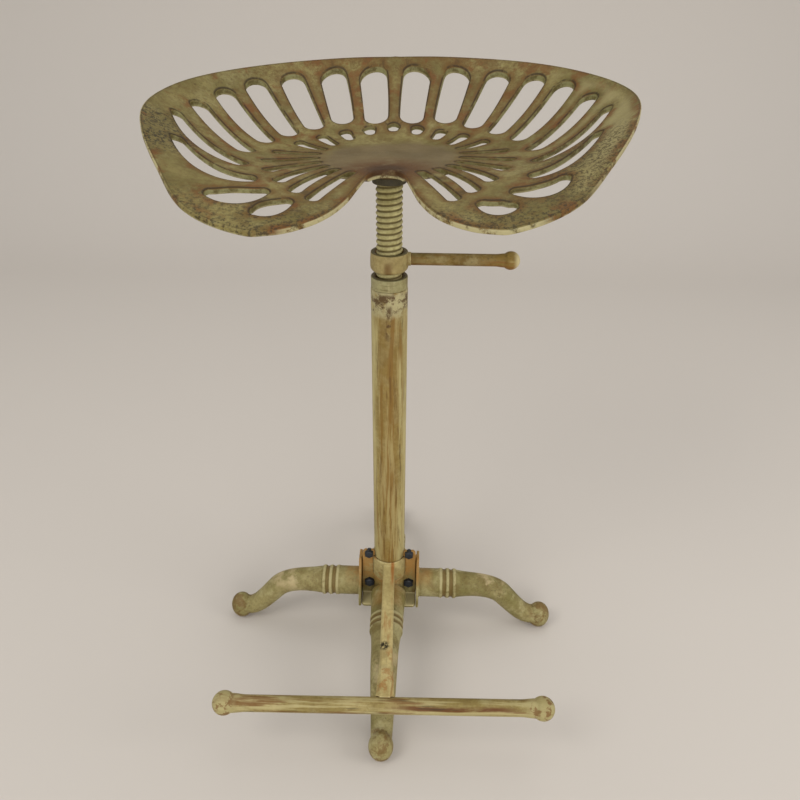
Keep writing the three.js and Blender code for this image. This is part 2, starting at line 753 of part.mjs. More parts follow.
function buildFootrest() {
  const ringBottom = hubTop + seatingGap;
  const ring = turnedSolid([
    [footrestRingRadius, ringBottom],
    [footrestRingRadius, footrestRingTop],
  ]);
  const endTop = footrestBarHeight + footrestBarRadius;
  const endBottom = footrestBarHeight - armGripShare * footrestBarRadius;
  const spreadStart = footrestBarReach - armEndSpread;
  const spreadTop = endTop + (armRootTop - endTop) * armEndSpread / (footrestBarReach - postRadius);
  const side = shapeOf([
    [postRadius, armRootBottom], [spreadStart, spreadTop - armDepth],
    [footrestBarReach - footrestBarRadius - armBevel, endBottom], [footrestBarReach, endBottom],
    [footrestBarReach, endTop], [postRadius, armRootTop],
  ]);
  const arm = new THREE.ExtrudeGeometry(side, {
    depth: 2 * (armHalfWidth - armBevel),
    bevelEnabled: true,
    bevelThickness: armBevel,
    bevelSize: armBevel,
    bevelOffset: -armBevel,
    bevelSegments: 1,
  }).translate(0, 0, armBevel - armHalfWidth).rotateX(Math.PI / 2).rotateZ(-Math.PI / 2);
  const spread = shapeOf([
    [-armHalfWidth, -spreadStart], [-armEndHalfWidth, -footrestBarReach],
    [armEndHalfWidth, -footrestBarReach], [armHalfWidth, -spreadStart],
  ]);
  const spreadPlate = plate(spread, endBottom + armBevel, endTop - armBevel);
  const bore = cylinder(postRadius + seatingGap, 0, earTop);
  const barSeat = cylinder(footrestBarRadius + seatingGap, -overrun, overrun, fineFacets)
    .rotateY(Math.PI / 2)
    .translate(0, -footrestBarReach, footrestBarHeight);
  const beyond = box(-overrun, overrun, -footrestBarReach - overrun, -footrestBarReach,
    -overrun, spreadTop + overrun);
  const solid = withCuts(joined([ring, arm, spreadPlate]), [bore, barSeat, beyond]);
  place('footrest_arm', toGeometry(solid), legIron).rotation.z = footrestTurn;

  const bar = barGeometry(footrestBarRadius, footrestFlare, footrestHalfLength, footrestBallRadius);
  bar.translate(0, -footrestBarReach, footrestBarHeight);
  place('footrest_bar', bar, legIron).rotation.z = footrestTurn;
}

buildSeat();
buildScrew();
buildPost();
buildLock();
buildMainLeg('front_leg', 0, earTop, [lowerBoltHeight, upperBoltHeight]);
buildMainLeg('rear_leg', Math.PI, rearEarTop, [lowerBoltHeight]);
buildSideLeg('right_leg', 0);
buildSideLeg('left_leg', Math.PI);
buildBolts();
buildFootrest();

export default stool;
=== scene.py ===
# Tractor seat stool in Blender 4.5: worn antique paint on cast iron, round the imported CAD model.
# Metres, +Z up, origin on the floor under the post.

import bpy
import bmesh
import math
from mathutils import Matrix, Vector
from mathutils.geometry import delaunay_2d_cdt
from mathutils.kdtree import KDTree


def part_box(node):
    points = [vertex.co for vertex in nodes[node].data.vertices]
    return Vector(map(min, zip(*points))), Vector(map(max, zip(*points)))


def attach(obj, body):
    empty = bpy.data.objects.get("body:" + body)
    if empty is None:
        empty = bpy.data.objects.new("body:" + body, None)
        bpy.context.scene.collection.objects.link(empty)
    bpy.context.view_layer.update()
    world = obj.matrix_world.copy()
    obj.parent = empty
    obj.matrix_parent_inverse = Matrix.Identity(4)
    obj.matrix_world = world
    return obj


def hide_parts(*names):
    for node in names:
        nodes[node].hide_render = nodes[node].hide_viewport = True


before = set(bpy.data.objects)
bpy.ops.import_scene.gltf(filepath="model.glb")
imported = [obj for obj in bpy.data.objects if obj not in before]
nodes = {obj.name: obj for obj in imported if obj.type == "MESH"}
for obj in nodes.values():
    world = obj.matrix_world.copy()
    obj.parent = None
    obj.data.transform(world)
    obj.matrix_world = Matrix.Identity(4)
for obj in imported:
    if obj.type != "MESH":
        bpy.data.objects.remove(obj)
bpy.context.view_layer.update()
print("frame loaded:", len(nodes), "nodes")

scene = bpy.context.scene
scene.view_settings.view_transform = "Standard"

# Camera, floor and light

view = {
    "eyeAlong": -0.682,      # camera to post, in the camera's own heading
    "eyeAcross": 0.0063,
    "eyeHeight": 0.7465,
    "heading": 2.2,          # degrees round the post
    "downward": 30.5,        # degrees below level
    "roll": 0.27,
    "focalPixels": 708,
    "photoPixels": 800,
    "moveRight": 5.0,        # pixels that the frame's centre lies off the lens axis
    "moveUp": 0.5,
    "sensor": 36,
}


def addCamera():
    turn = math.radians(view["heading"])
    eye = Matrix.Rotation(turn, 4, "Z") @ Vector((view["eyeAcross"], view["eyeAlong"], view["eyeHeight"]))
    data = bpy.data.cameras.new("camera")
    data.sensor_width = view["sensor"]
    data.lens = view["sensor"] * view["focalPixels"] / view["photoPixels"]
    data.shift_x = view["moveRight"] / view["photoPixels"]
    data.shift_y = view["moveUp"] / view["photoPixels"]
    camera = bpy.data.objects.new("camera", data)
    camera.location = eye
    aim = Matrix.Rotation(turn, 4, "Z") @ Matrix.Rotation(math.radians(90 - view["downward"]), 4, "X")
    camera.rotation_euler = (aim @ Matrix.Rotation(math.radians(view["roll"]), 4, "Z")).to_euler()
    scene.collection.objects.link(camera)
    scene.camera = camera


def srgb(red, green, blue):
    def linear(value):
        value /= 255
        return value / 12.92 if value <= 0.04045 else ((value + 0.055) / 1.055) ** 2.4
    return (linear(red), linear(green), linear(blue), 1)


studio = {
    "floorSpan": 9,
    "wallDistance": 2.2,
    "wallHeight": 4.5,
    "bendRadius": 0.9,
    "bendSteps": 12,
    "floorColour": srgb(204, 198, 190),
    "floorRoughness": 0.9,
    "floorSpecular": 0.2,
    "worldColour": srgb(240, 239, 239),
    "worldStrength": 0.7,
    "aim": (0, 0, 0.35),
}

lamps = [
    {"name": "keyLamp", "at": (-1.3, -1.3, 2.2), "size": 1.3, "power": 18, "colour": (1, 0.97, 0.93)},
    {"name": "topLamp", "at": (0.3, 0.5, 2.7), "size": 2.0, "power": 10, "colour": (1, 0.98, 0.96)},
    {"name": "frontLamp", "at": (0.35, -2.3, 0.75), "size": 1.4, "power": 17, "colour": (1, 0.97, 0.94)},
    {"name": "sideLamp", "at": (1.9, -0.7, 1.2), "size": 1.0, "power": 10, "colour": (1, 0.97, 0.94)},
]


def addStudio():
    span = studio["floorSpan"] / 2
    bend = studio["bendRadius"]
    wall = studio["wallDistance"]
    path = [(-span, 0)]
    for i in range(studio["bendSteps"] + 1):
        angle = math.pi / 2 * i / studio["bendSteps"]
        path.append((wall - bend + bend * math.sin(angle), bend - bend * math.cos(angle)))
    path.append((wall, studio["wallHeight"]))
    mesh = bpy.data.meshes.new("backdrop")
    verts = [(x, y, z) for y, z in path for x in (-span, span)]
    faces = [(2 * i, 2 * i + 1, 2 * i + 3, 2 * i + 2) for i in range(len(path) - 1)]
    mesh.from_pydata(verts, [], faces)
    mesh.polygons.foreach_set("use_smooth", [True] * len(faces))
    backdrop = bpy.data.objects.new("backdrop", mesh)
    scene.collection.objects.link(backdrop)
    paper = bpy.data.materials.new("backdropPaper")
    paper.use_nodes = True
    shader = paper.node_tree.nodes["Principled BSDF"]
    shader.inputs["Base Color"].default_value = studio["floorColour"]
    shader.inputs["Roughness"].default_value = studio["floorRoughness"]
    shader.inputs["Specular IOR Level"].default_value = studio["floorSpecular"]
    mesh.materials.append(paper)

    world = bpy.data.worlds.new("studioWorld")
    world.use_nodes = True
    background = world.node_tree.nodes["Background"]
    background.inputs["Color"].default_value = studio["worldColour"]
    background.inputs["Strength"].default_value = studio["worldStrength"]
    scene.world = world

    target = Vector(studio["aim"])
    for lamp in lamps:
        data = bpy.data.lights.new(lamp["name"], "AREA")
        data.shape = "DISK"
        data.size = lamp["size"]
        data.energy = lamp["power"]
        data.color = lamp["colour"]
        light = bpy.data.objects.new(lamp["name"], data)
        light.location = lamp["at"]
        light.rotation_euler = (target - light.location).to_track_quat("-Z", "Y").to_euler()
        scene.collection.objects.link(light)


addCamera()
addStudio()
print("camera and studio ready")

# Material building blocks


class Bench:
    # Short ways to add and join the nodes of one tree

    def feed(self, socket, value):
        if isinstance(value, bpy.types.NodeSocket):
            self.tree.links.new(value, socket)
        else:
            socket.default_value = value

    def add(self, kind, settings=None, **inputs):
        node = self.tree.nodes.new(kind)
        for label, value in (settings or {}).items():
            setattr(node, label, value)
        for label, value in inputs.items():
            self.feed(node.inputs[label.replace("_", " ")], value)
        return node

    def math(self, kind, first, second=0.0):
        node = self.add("ShaderNodeMath", {"operation": kind})
        self.feed(node.inputs[0], first)
        self.feed(node.inputs[1], second)
        return node.outputs[0]

    def times(self, *factors):
        result = factors[0]
        for factor in factors[1:]:
            result = self.math("MULTIPLY", result, factor)
        return result


class PaintBench(Bench):
    # One material, whose colour is built up coat by coat

    def __init__(self, name):
        self.material = bpy.data.materials.new(name)
        self.material.use_nodes = True
        self.tree = self.material.node_tree
        self.shader = self.tree.nodes["Principled BSDF"]
        self.place = self.add("ShaderNodeTexCoord").outputs["Object"]
        self.x, self.y, self.z = self.add("ShaderNodeSeparateXYZ", Vector=self.place).outputs

    def stretched(self, scale=(1, 1, 1), move=(0, 0, 0)):
        return self.add("ShaderNodeMapping", Vector=self.place, Scale=scale, Location=move).outputs["Vector"]

    def noise(self, scale, detail=5, roughness=0.6, place=None):
        return self.add("ShaderNodeTexNoise", Vector=place or self.place, Scale=scale, Detail=detail,
                        Roughness=roughness).outputs["Fac"]

    def between(self, value, low, high):
        return self.add("ShaderNodeMapRange", {"interpolation_type": "SMOOTHSTEP"}, Value=value, From_Min=low,
                        From_Max=high).outputs["Result"]

    def patches(self, low, high, *field):
        return self.between(self.noise(*field), low, high)

    def band(self, value, low, high, soft):
        return self.times(self.between(value, low - soft, low + soft), self.between(value, high + soft, high - soft))

    def length(self, first, second):
        return self.math("SQRT", self.math("ADD", self.times(first, first), self.times(second, second)))

    def wavy(self, value, height, *field):
        return self.math("ADD", value, self.times(self.math("SUBTRACT", self.noise(*field), 0.5), height))

    def near(self, place, reach, core):
        # One at a place, falling to nothing at reach
        node = self.add("ShaderNodeVectorMath", {"operation": "DISTANCE"})
        self.feed(node.inputs[0], self.place)
        node.inputs[1].default_value = place
        return self.between(node.outputs["Value"], reach, core)

    def mix(self, amount, under, over):
        node = self.add("ShaderNodeMix", {"data_type": "RGBA"}, Factor=amount)
        self.feed(node.inputs[6], under)
        self.feed(node.inputs[7], over)
        return node.outputs[2]

    def coat(self, over, *amounts):
        self.colour = self.mix(self.times(*amounts), self.colour, over)

    def streaks(self, over, stretch, scale, amount, low):
        field = self.noise(scale, 6, 0.62, self.stretched(stretch))
        self.coat(over, self.between(field, low, low + 0.09), amount)

    def attribute(self, name):
        return self.add("ShaderNodeAttribute", {"attribute_name": name}).outputs["Fac"]

    def crevice(self, reach):
        node = self.add("ShaderNodeAmbientOcclusion", {"samples": 8}, Distance=reach)
        return self.math("SUBTRACT", 1.0, node.outputs["AO"])

    def finish(self, height, bumpStrength, bumpDistance, roughField, roughLow, roughHigh):
        node = self.add("ShaderNodeBump", Strength=bumpStrength, Distance=bumpDistance, Height=height)
        self.feed(self.shader.inputs["Normal"], node.outputs["Normal"])
        rough = self.add("ShaderNodeMapRange", Value=roughField, To_Min=roughLow, To_Max=roughHigh)
        self.feed(self.shader.inputs["Roughness"], rough.outputs["Result"])
        self.feed(self.shader.inputs["Base Color"], self.colour)
        return self.material


agedPaint = {
    "olive": srgb(122, 114, 66),
    "khaki": srgb(150, 140, 92),
    "pale": srgb(176, 168, 122),
    "cream": srgb(206, 194, 148),
    "wash": srgb(102, 80, 38),
    "rust": srgb(116, 70, 26),
    "soot": srgb(48, 42, 24),
    "toneScale": 16,
    "paleAmount": 0.35,
    "washScale": 46,
    "washAmount": 0.5,
    "grainAmount": 0.28,
    "speckScale": 420,
    "speckAmount": 0.45,
    "rustAmount": 0.75,
    "edgeAmount": 0.5,
    "creviceReach": 0.012,
    "roughLow": 0.4,
    "roughHigh": 0.68,
    "specular": 0.25,
    "bumpDistance": 0.0009,
}


# Paint, pale patches, brown wash, grain, specks, rubbed edges and rusty hollows
def startAgedPaint(name, **changes):
    look = {**agedPaint, **changes}
    bench = PaintBench(name)
    bench.look = look
    bench.colour = bench.mix(bench.patches(0.38, 0.62, look["toneScale"], 6, 0.62), look["olive"], look["khaki"])
    bench.coat(look["pale"], bench.patches(0.5, 0.62, 34, 7, 0.66, bench.stretched(move=(5, 2, 7))),
               look["paleAmount"])
    bench.washField = bench.noise(look["washScale"], 9, 0.7)
    bench.coat(look["wash"], bench.between(bench.washField, 0.5, 0.64), look["washAmount"])
    bench.coat(look["wash"], bench.patches(0.42, 0.62, 230, 4, 0.65), look["grainAmount"])
    spots = bench.patches(0.42, 0.6, 11, 4, 0.6, bench.stretched(move=(3, 1, 2)))
    bench.coat(look["soot"], bench.patches(0.56, 0.63, look["speckScale"], 4, 0.7), spots, look["speckAmount"])
    if look["edgeAmount"]:
        pointed = bench.add("ShaderNodeNewGeometry").outputs["Pointiness"]
        bench.coat(look["cream"], bench.between(pointed, 0.515, 0.56), bench.between(bench.washField, 0.62, 0.42),
                   look["edgeAmount"])
    if look["rustAmount"]:
        hollow = bench.between(bench.crevice(look["creviceReach"]), 0.22, 0.62)
        bench.coat(look["rust"], hollow, bench.patches(0.36, 0.58, 90, 6, 0.7), look["rustAmount"])
    return bench


def finishAgedPaint(bench, bumpStrength=0.35):
    look = bench.look
    height = bench.math("ADD", bench.times(bench.noise(70), 1.4), bench.times(bench.noise(420, 3), 0.5))
    bench.shader.inputs["Specular IOR Level"].default_value = look["specular"]
    return bench.finish(height, bumpStrength, look["bumpDistance"], bench.washField, look["roughLow"],
                        look["roughHigh"])


seatPaint = {
    "olive": srgb(104, 94, 48),
    "khaki": srgb(130, 119, 70),
    "pale": srgb(150, 142, 96),
    "wash": srgb(88, 66, 27),
    "rust": srgb(104, 62, 20),
    "soot": srgb(42, 35, 18),
    "paleAmount": 0.3,
    "grainAmount": 0.35,
    "speckAmount": 0.35,
    "edgeAmount": 0,
    "rustAmount": 0,
    "ribBrownAndShade": srgb(96, 68, 24),
    "ribBrownAndShadeReach": 0.0095,
    "wall": srgb(128, 124, 82),
    "wallShade": srgb(88, 78, 40),
    "outline": srgb(42, 31, 12),
    "outlineReach": 0.0026,
    "disc": srgb(98, 84, 56),
    "discLight": srgb(114, 99, 68),
    "discRadius": 0.058,
    "leftWing": (-0.204, -0.04, 0.639),
    "rightWing": (0.176, -0.09, 0.627),
    "wingPale": srgb(160, 150, 104),
    "wingSpeck": srgb(64, 52, 22),
    "notchApex": (0, -0.052, 0.606),
    "notchRust": srgb(84, 50, 14),
    "apexBrown": srgb(56, 34, 10),
    # painted highlight colour for the lit rim walls and the lower edges
    "rimHighlight": srgb(174, 165, 122),
    "underMark": -0.001,        # stored as edge distance along the lower edges
    "underHighlight": -0.0005,
}


def makeSeatPaint():
    bench = startAgedPaint("seatPaint", **seatPaint)
    look, x, y, between = bench.look, bench.x, bench.y, bench.between
    edge, wall, rim = (bench.attribute(name) for name in ("edgeDistance", "wallShare", "rimShare"))
    outward = bench.length(x, y)

    # Brown along the slots, partly the ribs' own colour and partly painted shade where their edges round over, orange
    # stains, and the smooth dark disc in the middle
    bench.coat(look["ribBrownAndShade"], between(edge, look["ribBrownAndShadeReach"], 0.002), between(outward, 0.2, 0.18),
               bench.patches(0.34, 0.56, 48, 6, 0.68), 0.85)
    bench.coat(look["rust"], bench.patches(0.52, 0.62, 42, 5, 0.66, bench.stretched(move=(1, 4, 2))),
               between(edge, 0.014, 0.004), between(outward, 0.085, 0.1), 0.7)
    smooth = between(bench.wavy(outward, 0.03, 30, 4), look["discRadius"] + 0.018, look["discRadius"] - 0.004)
    bench.coat(bench.mix(bench.patches(0.3, 0.7, 26), look["disc"], look["discLight"]), smooth, 0.9)

    # Dark specks on the wings, the lobes and the back, and a paler right side
    sootField = bench.patches(0.49, 0.57, 300, 5, 0.75)
    bench.coat(look["soot"], bench.near(look["leftWing"], 0.06, 0.03), sootField, 0.9)
    rightSide = between(x, 0.13, 0.19)
    bench.coat(look["wingPale"], rightSide, between(edge, 0.002, 0.012), 0.55)
    bench.coat(look["rust"], rightSide, between(edge, 0.011, 0.002), between(y, 0.03, -0.01),
               bench.patches(0.44, 0.54, 70, 6, 0.72), 0.75)
    bench.coat(look["wingSpeck"], bench.near(look["rightWing"], 0.085, 0.035),
               bench.patches(0.48, 0.56, 360, 5, 0.75), 0.85)
    bench.coat(look["soot"], between(y, -0.105, -0.15), between(edge, 0.026, 0.004), sootField, 0.7)
    bench.coat(look["wash"], between(y, 0.09, 0.14),
               bench.patches(0.36, 0.54, 30, 4, 0.6, bench.stretched(move=(2, 2, 5))), sootField, 0.6)

    # Rust round the notch, darkest over its apex
    flakes = bench.patches(0.3, 0.52, 60, 6, 0.7)
    bench.coat(look["notchRust"], bench.near(look["notchApex"], 0.06, 0.018), flakes, 0.85)
    bench.coat(look["apexBrown"], bench.near(look["notchApex"], 0.026, 0.01), flakes, 0.85)

    # Slot walls under a dark edge line, and painted highlight in cream along the lower edges and on the lit walls of
    # the rim and notch
    bench.coat(look["outline"], between(edge, look["outlineReach"], 0.0008), bench.patches(0.34, 0.5, 55, 5, 0.7),
               between(wall, 0.75, 0.45), between(rim, 0.5, 0.1), 0.85)
    wallTone = bench.mix(bench.patches(0.42, 0.6, 80, 6, 0.7), look["wall"], look["wallShade"])
    wallTone = bench.mix(bench.times(between(outward, 0.135, 0.12), 0.5), wallTone, look["wallShade"])
    bench.coat(wallTone, between(wall, 0.6, 1.0))
    ragged = bench.patches(0.4, 0.54, 60, 6, 0.72)
    # Painted highlight: a cream line along the lower edges of the rim and of every slot
    bench.coat(look["rimHighlight"], between(edge, look["underHighlight"], look["underMark"]), ragged, 0.55)
    # Painted highlight: cream on the lit rim walls of both wings and on the wall of the notch
    leftRimHighlight = bench.times(between(x, -0.16, -0.18), between(rim, 0.35, 0.6))
    rightRimHighlight = bench.times(between(x, 0.15, 0.18), between(rim, 0.4, 0.7), 0.9)
    lowerWall = bench.math("MAXIMUM", between(outward, 0.07, 0.09), between(bench.z, 0.6035, 0.6015))
    notchWallHighlight = bench.times(between(rim, 0.5, 0.85), between(y, -0.04, -0.05), lowerWall,
                            bench.band(x, -0.075, 0.125, 0.01))
    cream = bench.math("MAXIMUM", bench.math("MAXIMUM", leftRimHighlight, rightRimHighlight), notchWallHighlight)
    bench.coat(look["rimHighlight"], cream, ragged, 0.9)
    return finishAgedPaint(bench, 0.4)


# Ring bands of the legs: where the first one starts, out from the post's axis, and their sizes
bands = {
    "start": 0.0654,
    "pitch": 0.00875,
    "width": 0.0034,
    "count": 3,
    "edge": 0.0007,
    "rise": 0.0005,
    "groove": 0.0008,
}

legPaint = {
    "paleAmount": 0.55,
    "washAmount": 0.4,
    "rustAmount": 0.45,
    "bandPale": srgb(174, 164, 120),
    "groove": srgb(106, 84, 42),
    "ear": srgb(156, 112, 54),
    "earFloor": 0.0915,
    "shoulderPale": srgb(186, 168, 128),
    "shelfPaintedLight": srgb(196, 184, 136),
    "shelfHeight": 0.0575,
    "shelfHalf": 0.0012,
    "toeBrownAndShade": srgb(104, 74, 32),
}


def makeLegPaint():
    bench = startAgedPaint("legPaint", **legPaint)
    look, z, between = bench.look, bench.z, bench.between
    along = bench.math("MAXIMUM", bench.math("ABSOLUTE", bench.x), bench.math("ABSOLUTE", bench.y))
    bench.coat(look["shoulderPale"], bench.band(along, 0.112, 0.16, 0.012), between(z, 0.055, 0.075),
               bench.patches(0.44, 0.6, 38, 6, 0.7), 0.75)
    for i in range(bands["count"]):
        low = bands["start"] + i * bands["pitch"]
        end = low + bands["width"]
        bench.coat(look["bandPale"], bench.band(along, low + 0.0002, end - 0.0002, 0.0006),
                   between(bench.washField, 0.68, 0.5), 0.85)
        if i + 1 < bands["count"]:
            bench.coat(look["groove"], bench.band(along, end + 0.0005, low + bands["pitch"] - 0.0005, 0.0007), 0.8)
    bench.coat(look["ear"], between(z, look["earFloor"] - 0.02, look["earFloor"] + 0.006),
               between(along, 0.06, 0.05), bench.patches(0.3, 0.54, 50, 6, 0.7), 0.8)
    # Painted light: the top face of the hub's shelf, which faces up, is made paler
    shelf, half = look["shelfHeight"], look["shelfHalf"]
    bench.coat(look["shelfPaintedLight"], bench.band(z, shelf - half, shelf + half, 0.0004),
               between(along, 0.0345, 0.033), 0.85)
    # Brown over the toes, partly paint and partly painted shade
    bench.coat(look["toeBrownAndShade"], between(along, 0.182, 0.19), bench.patches(0.44, 0.58, 70, 5, 0.7), 0.7)
    return finishAgedPaint(bench)


postPaint = {
    "olive": srgb(134, 116, 62),
    "khaki": srgb(152, 134, 78),
    "washAmount": 0.3,
    "speckAmount": 0.1,
    "edgeAmount": 0,
    "rustAmount": 0.3,
    "jointHeight": 0.4796,
    "bare": srgb(178, 170, 128),
    "scorch": srgb(78, 52, 22),
    "streakPale": srgb(184, 172, 120),
    "streakBrown": srgb(124, 92, 38),
    "streakDark": srgb(84, 60, 24),
}


def makePostPaint():
    bench = startAgedPaint("postPaint", **postPaint)
    look, z, between = bench.look, bench.z, bench.between
    wide = bench.math("ABSOLUTE", bench.x)
    bench.streaks(look["streakPale"], (1, 1, 0.07), 90, 0.75, 0.47)
    bench.streaks(look["streakBrown"], (1.1, 1.1, 0.05), 150, 0.8, 0.5)
    bench.streaks(look["streakDark"], (1, 1, 0.06), 260, 0.8, 0.56)
    # Browner down the middle of the post and paler along its two sides: painted shade and painted sheen across its
    # width
    bench.coat(look["streakBrown"], between(wide, 0.0135, 0.009), 0.4)
    bench.coat(look["streakPale"], between(wide, 0.0125, 0.0165), 0.45)

    # Worn through to bare metal and scorched at the top, with one drip
    joint = look["jointHeight"]
    ragged = bench.wavy(z, 0.03, 50, 5, 0.72)
    bench.coat(look["bare"], between(ragged, joint - 0.032, joint - 0.02), bench.patches(0.36, 0.5, 60, 5, 0.7), 0.85)
    bench.coat(look["scorch"], bench.band(bench.x, -0.0035, 0.0035, 0.0025), between(z, joint - 0.062, joint - 0.04),
               between(z, joint - 0.012, joint - 0.018),
               bench.patches(0.42, 0.52, 75, 5, 0.7, bench.stretched((1, 1, 0.5))), 0.85)
    bench.coat(look["scorch"], bench.band(ragged, joint - 0.02, joint - 0.003, 0.004),
               bench.patches(0.45, 0.55, 70, 6, 0.75), 0.9)
    return finishAgedPaint(bench, 0.3)


barPaint = {
    "olive": srgb(134, 118, 66),
    "khaki": srgb(160, 144, 94),
    "washAmount": 0.3,
    "speckAmount": 0.2,
    "rustAmount": 0.4,
    "streakPale": srgb(178, 166, 118),
    "redBrown": srgb(106, 66, 24),
    "lineHeight": 0.0898,
    "lineHalf": 0.0018,
    "lineBrown": srgb(94, 54, 17),
    "knobStart": 0.156,
    "knobPale": srgb(166, 156, 108),
}


def makeBarPaint():
    bench = startAgedPaint("footrestPaint", **barPaint)
    look, x, between = bench.look, bench.x, bench.between
    bench.streaks(look["streakPale"], (0.05, 1, 1), 120, 0.7, 0.48)
    bench.streaks(look["redBrown"], (0.07, 1, 1), 125, 0.75, 0.54)
    line, half = look["lineHeight"], look["lineHalf"]
    bench.coat(look["lineBrown"], bench.band(bench.wavy(bench.z, 0.006, 20, 4), line - half, line + half, 0.001),
               bench.band(x, 0.02, 0.14, 0.02), between(bench.y, -0.197, -0.202),
               bench.patches(0.3, 0.42, 60, 5, 0.65, bench.stretched((0.2, 1, 1))), 0.95)
    bench.streaks(look["soot"], (0.07, 1, 1), 190, 0.6, 0.58)
    knob = between(bench.math("ABSOLUTE", x), look["knobStart"] - 0.006, look["knobStart"] + 0.004)
    bench.coat(look["knobPale"], knob, 0.65)
    bench.coat(look["redBrown"], knob, bench.patches(0.52, 0.6, 90, 5, 0.7), 0.75)
    return finishAgedPaint(bench)


armPaint = {
    "olive": srgb(158, 142, 90),
    "khaki": srgb(186, 170, 116),
    "washAmount": 0.3,
    "speckAmount": 0.1,
    "grainAmount": 0.2,
    "rustAmount": 0.5,
    "stripe": srgb(146, 92, 36),
    "shade": srgb(124, 110, 66),
    "pit": (0.0005, -0.1335),
}


def makeArmPaint():
    bench = startAgedPaint("footrestArmPaint", **armPaint)
    look, x, y = bench.look, bench.x, bench.y
    bench.streaks(look["shade"], (1, 0.08, 1), 90, 0.5, 0.52)
    bench.streaks(look["stripe"], (1, 0.1, 1), 60, 0.6, 0.56)
    # Orange-brown down the right side of the stem: partly its own colour, partly painted shade on that side
    bench.coat(look["stripe"], bench.band(x, 0.0032, 0.0072, 0.0012),
               bench.patches(0.38, 0.54, 26, 4, 0.6, bench.stretched((1, 0.35, 1))), 0.9)
    fromPit = bench.length(*(bench.math("SUBTRACT", axis, at) for axis, at in zip((x, y), look["pit"])))
    bench.coat(look["soot"], bench.between(fromPit, 0.0075, 0.003), bench.patches(0.42, 0.5, 240, 4, 0.7))
    bench.coat(look["stripe"], bench.patches(0.52, 0.62, 48, 5, 0.7, bench.stretched(move=(4, 0, 1))),
               bench.between(y, -0.12, -0.15), 0.6)
    return finishAgedPaint(bench, 0.28)


lockPaint = {
    "olive": srgb(134, 118, 70),
    "khaki": srgb(166, 150, 100),
    "washAmount": 0.4,
    "edgeAmount": 0.3,
    "stripe": srgb(100, 70, 30),
    "top": srgb(74, 70, 44),
}


def makeLockPaint():
    bench = startAgedPaint("lockPaint", **lockPaint)
    bench.coat(lockPaint["stripe"], bench.band(bench.x, -0.004, 0.003, 0.003), bench.between(bench.z, 0.515, 0.506),
               bench.patches(0.3, 0.5, 70, 5, 0.7), 0.75)
    bench.coat(lockPaint["top"], bench.between(bench.z, 0.5168, 0.5172), 0.75)
    return finishAgedPaint(bench)


leverPaint = {
    "olive": srgb(112, 88, 36),
    "khaki": srgb(138, 114, 54),
    "washAmount": 0.3,
    "edgeAmount": 0.2,
    "streakPale": srgb(156, 140, 86),
    "streakBrown": srgb(122, 76, 26),
}


def makeLeverPaint():
    bench = startAgedPaint("leverPaint", **leverPaint)
    bench.streaks(leverPaint["streakPale"], (0.07, 1, 1), 110, 0.6, 0.52)
    bench.streaks(leverPaint["streakBrown"], (0.08, 1, 1), 90, 0.6, 0.55)
    # Painted highlight: cream on the outer end of the lever's ball
    bench.coat(bench.look["cream"], bench.between(bench.x, 0.122, 0.1285), 0.8)
    return finishAgedPaint(bench)


bushPaint = {
    "olive": srgb(138, 132, 88),
    "khaki": srgb(160, 154, 112),
    "washAmount": 0.4,
    "edgeAmount": 0.3,
    "ringPitch": 0.0045,
    "ringBrown": srgb(104, 90, 50),
    "top": srgb(84, 80, 54),
}


def makeBushPaint():
    bench = startAgedPaint("bushPaint", **bushPaint)
    rings = bench.math("SINE", bench.times(bench.z, 2 * math.pi / bushPaint["ringPitch"]))
    bench.coat(bushPaint["ringBrown"], bench.between(rings, 0.2, 0.9), bench.patches(0.4, 0.56, 60, 5, 0.7),
               bench.between(bench.z, 0.4905, 0.4895), 0.5)
    bench.coat(bushPaint["top"], bench.between(bench.z, 0.4915, 0.492), 0.7)
    return finishAgedPaint(bench)


screwPaint = {
    "olive": srgb(160, 152, 98),
    "khaki": srgb(192, 184, 130),
    "washAmount": 0.25,
    "speckAmount": 0.2,
    "edgeAmount": 0,
    "rustAmount": 0.2,
    "groove": srgb(84, 70, 34),
}


def makeScrewPaint():
    bench = startAgedPaint("screwPaint", **screwPaint)
    bench.coat(screwPaint["groove"], bench.between(bench.length(bench.x, bench.y), 0.0126, 0.0119), 0.9)
    return finishAgedPaint(bench, 0.2)


def makePlainMetal(name, colour, roughness, metallic):
    bench = PaintBench(name)
    field = bench.noise(140, 6, 0.65)
    lighter = tuple(min(1, 1.6 * value) for value in colour[:3]) + (1,)
    bench.colour = bench.mix(bench.between(field, 0.35, 0.65), colour, lighter)
    bench.shader.inputs["Metallic"].default_value = metallic
    return bench.finish(field, 0.2, 0.0005, field, roughness - 0.1, roughness + 0.15)


seatMaterial = makeSeatPaint()
legMaterial = makeLegPaint()
postMaterial = makePostPaint()
barMaterial = makeBarPaint()
armMaterial = makeArmPaint()
lockMaterial = makeLockPaint()
leverMaterial = makeLeverPaint()
bushMaterial = makeBushPaint()
screwMaterial = makeScrewPaint()
blackMaterial = makePlainMetal("blackSteel", srgb(34, 38, 44), 0.5, 0.3)
nutMaterial = makePlainMetal("jamNutSteel", srgb(56, 50, 30), 0.65, 0.1)
greyMaterial = makePlainMetal("greySteel", srgb(150, 146, 132), 0.45, 0.7)
print("materials ready")

# Mesh building blocks


def addPiece(name, mesh, material, body, slot, *replaced):
    mesh.materials.clear()
    mesh.materials.append(material)
    mesh.polygons.foreach_set("material_index", [0] * len(mesh.polygons))
    mesh.polygons.foreach_set("use_smooth", [True] * len(mesh.polygons))
    piece = bpy.data.objects.new(name, mesh)
    scene.collection.objects.link(piece)
    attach(piece, body)
    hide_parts(*replaced)
    print("piece", name, len(mesh.polygons), "faces")


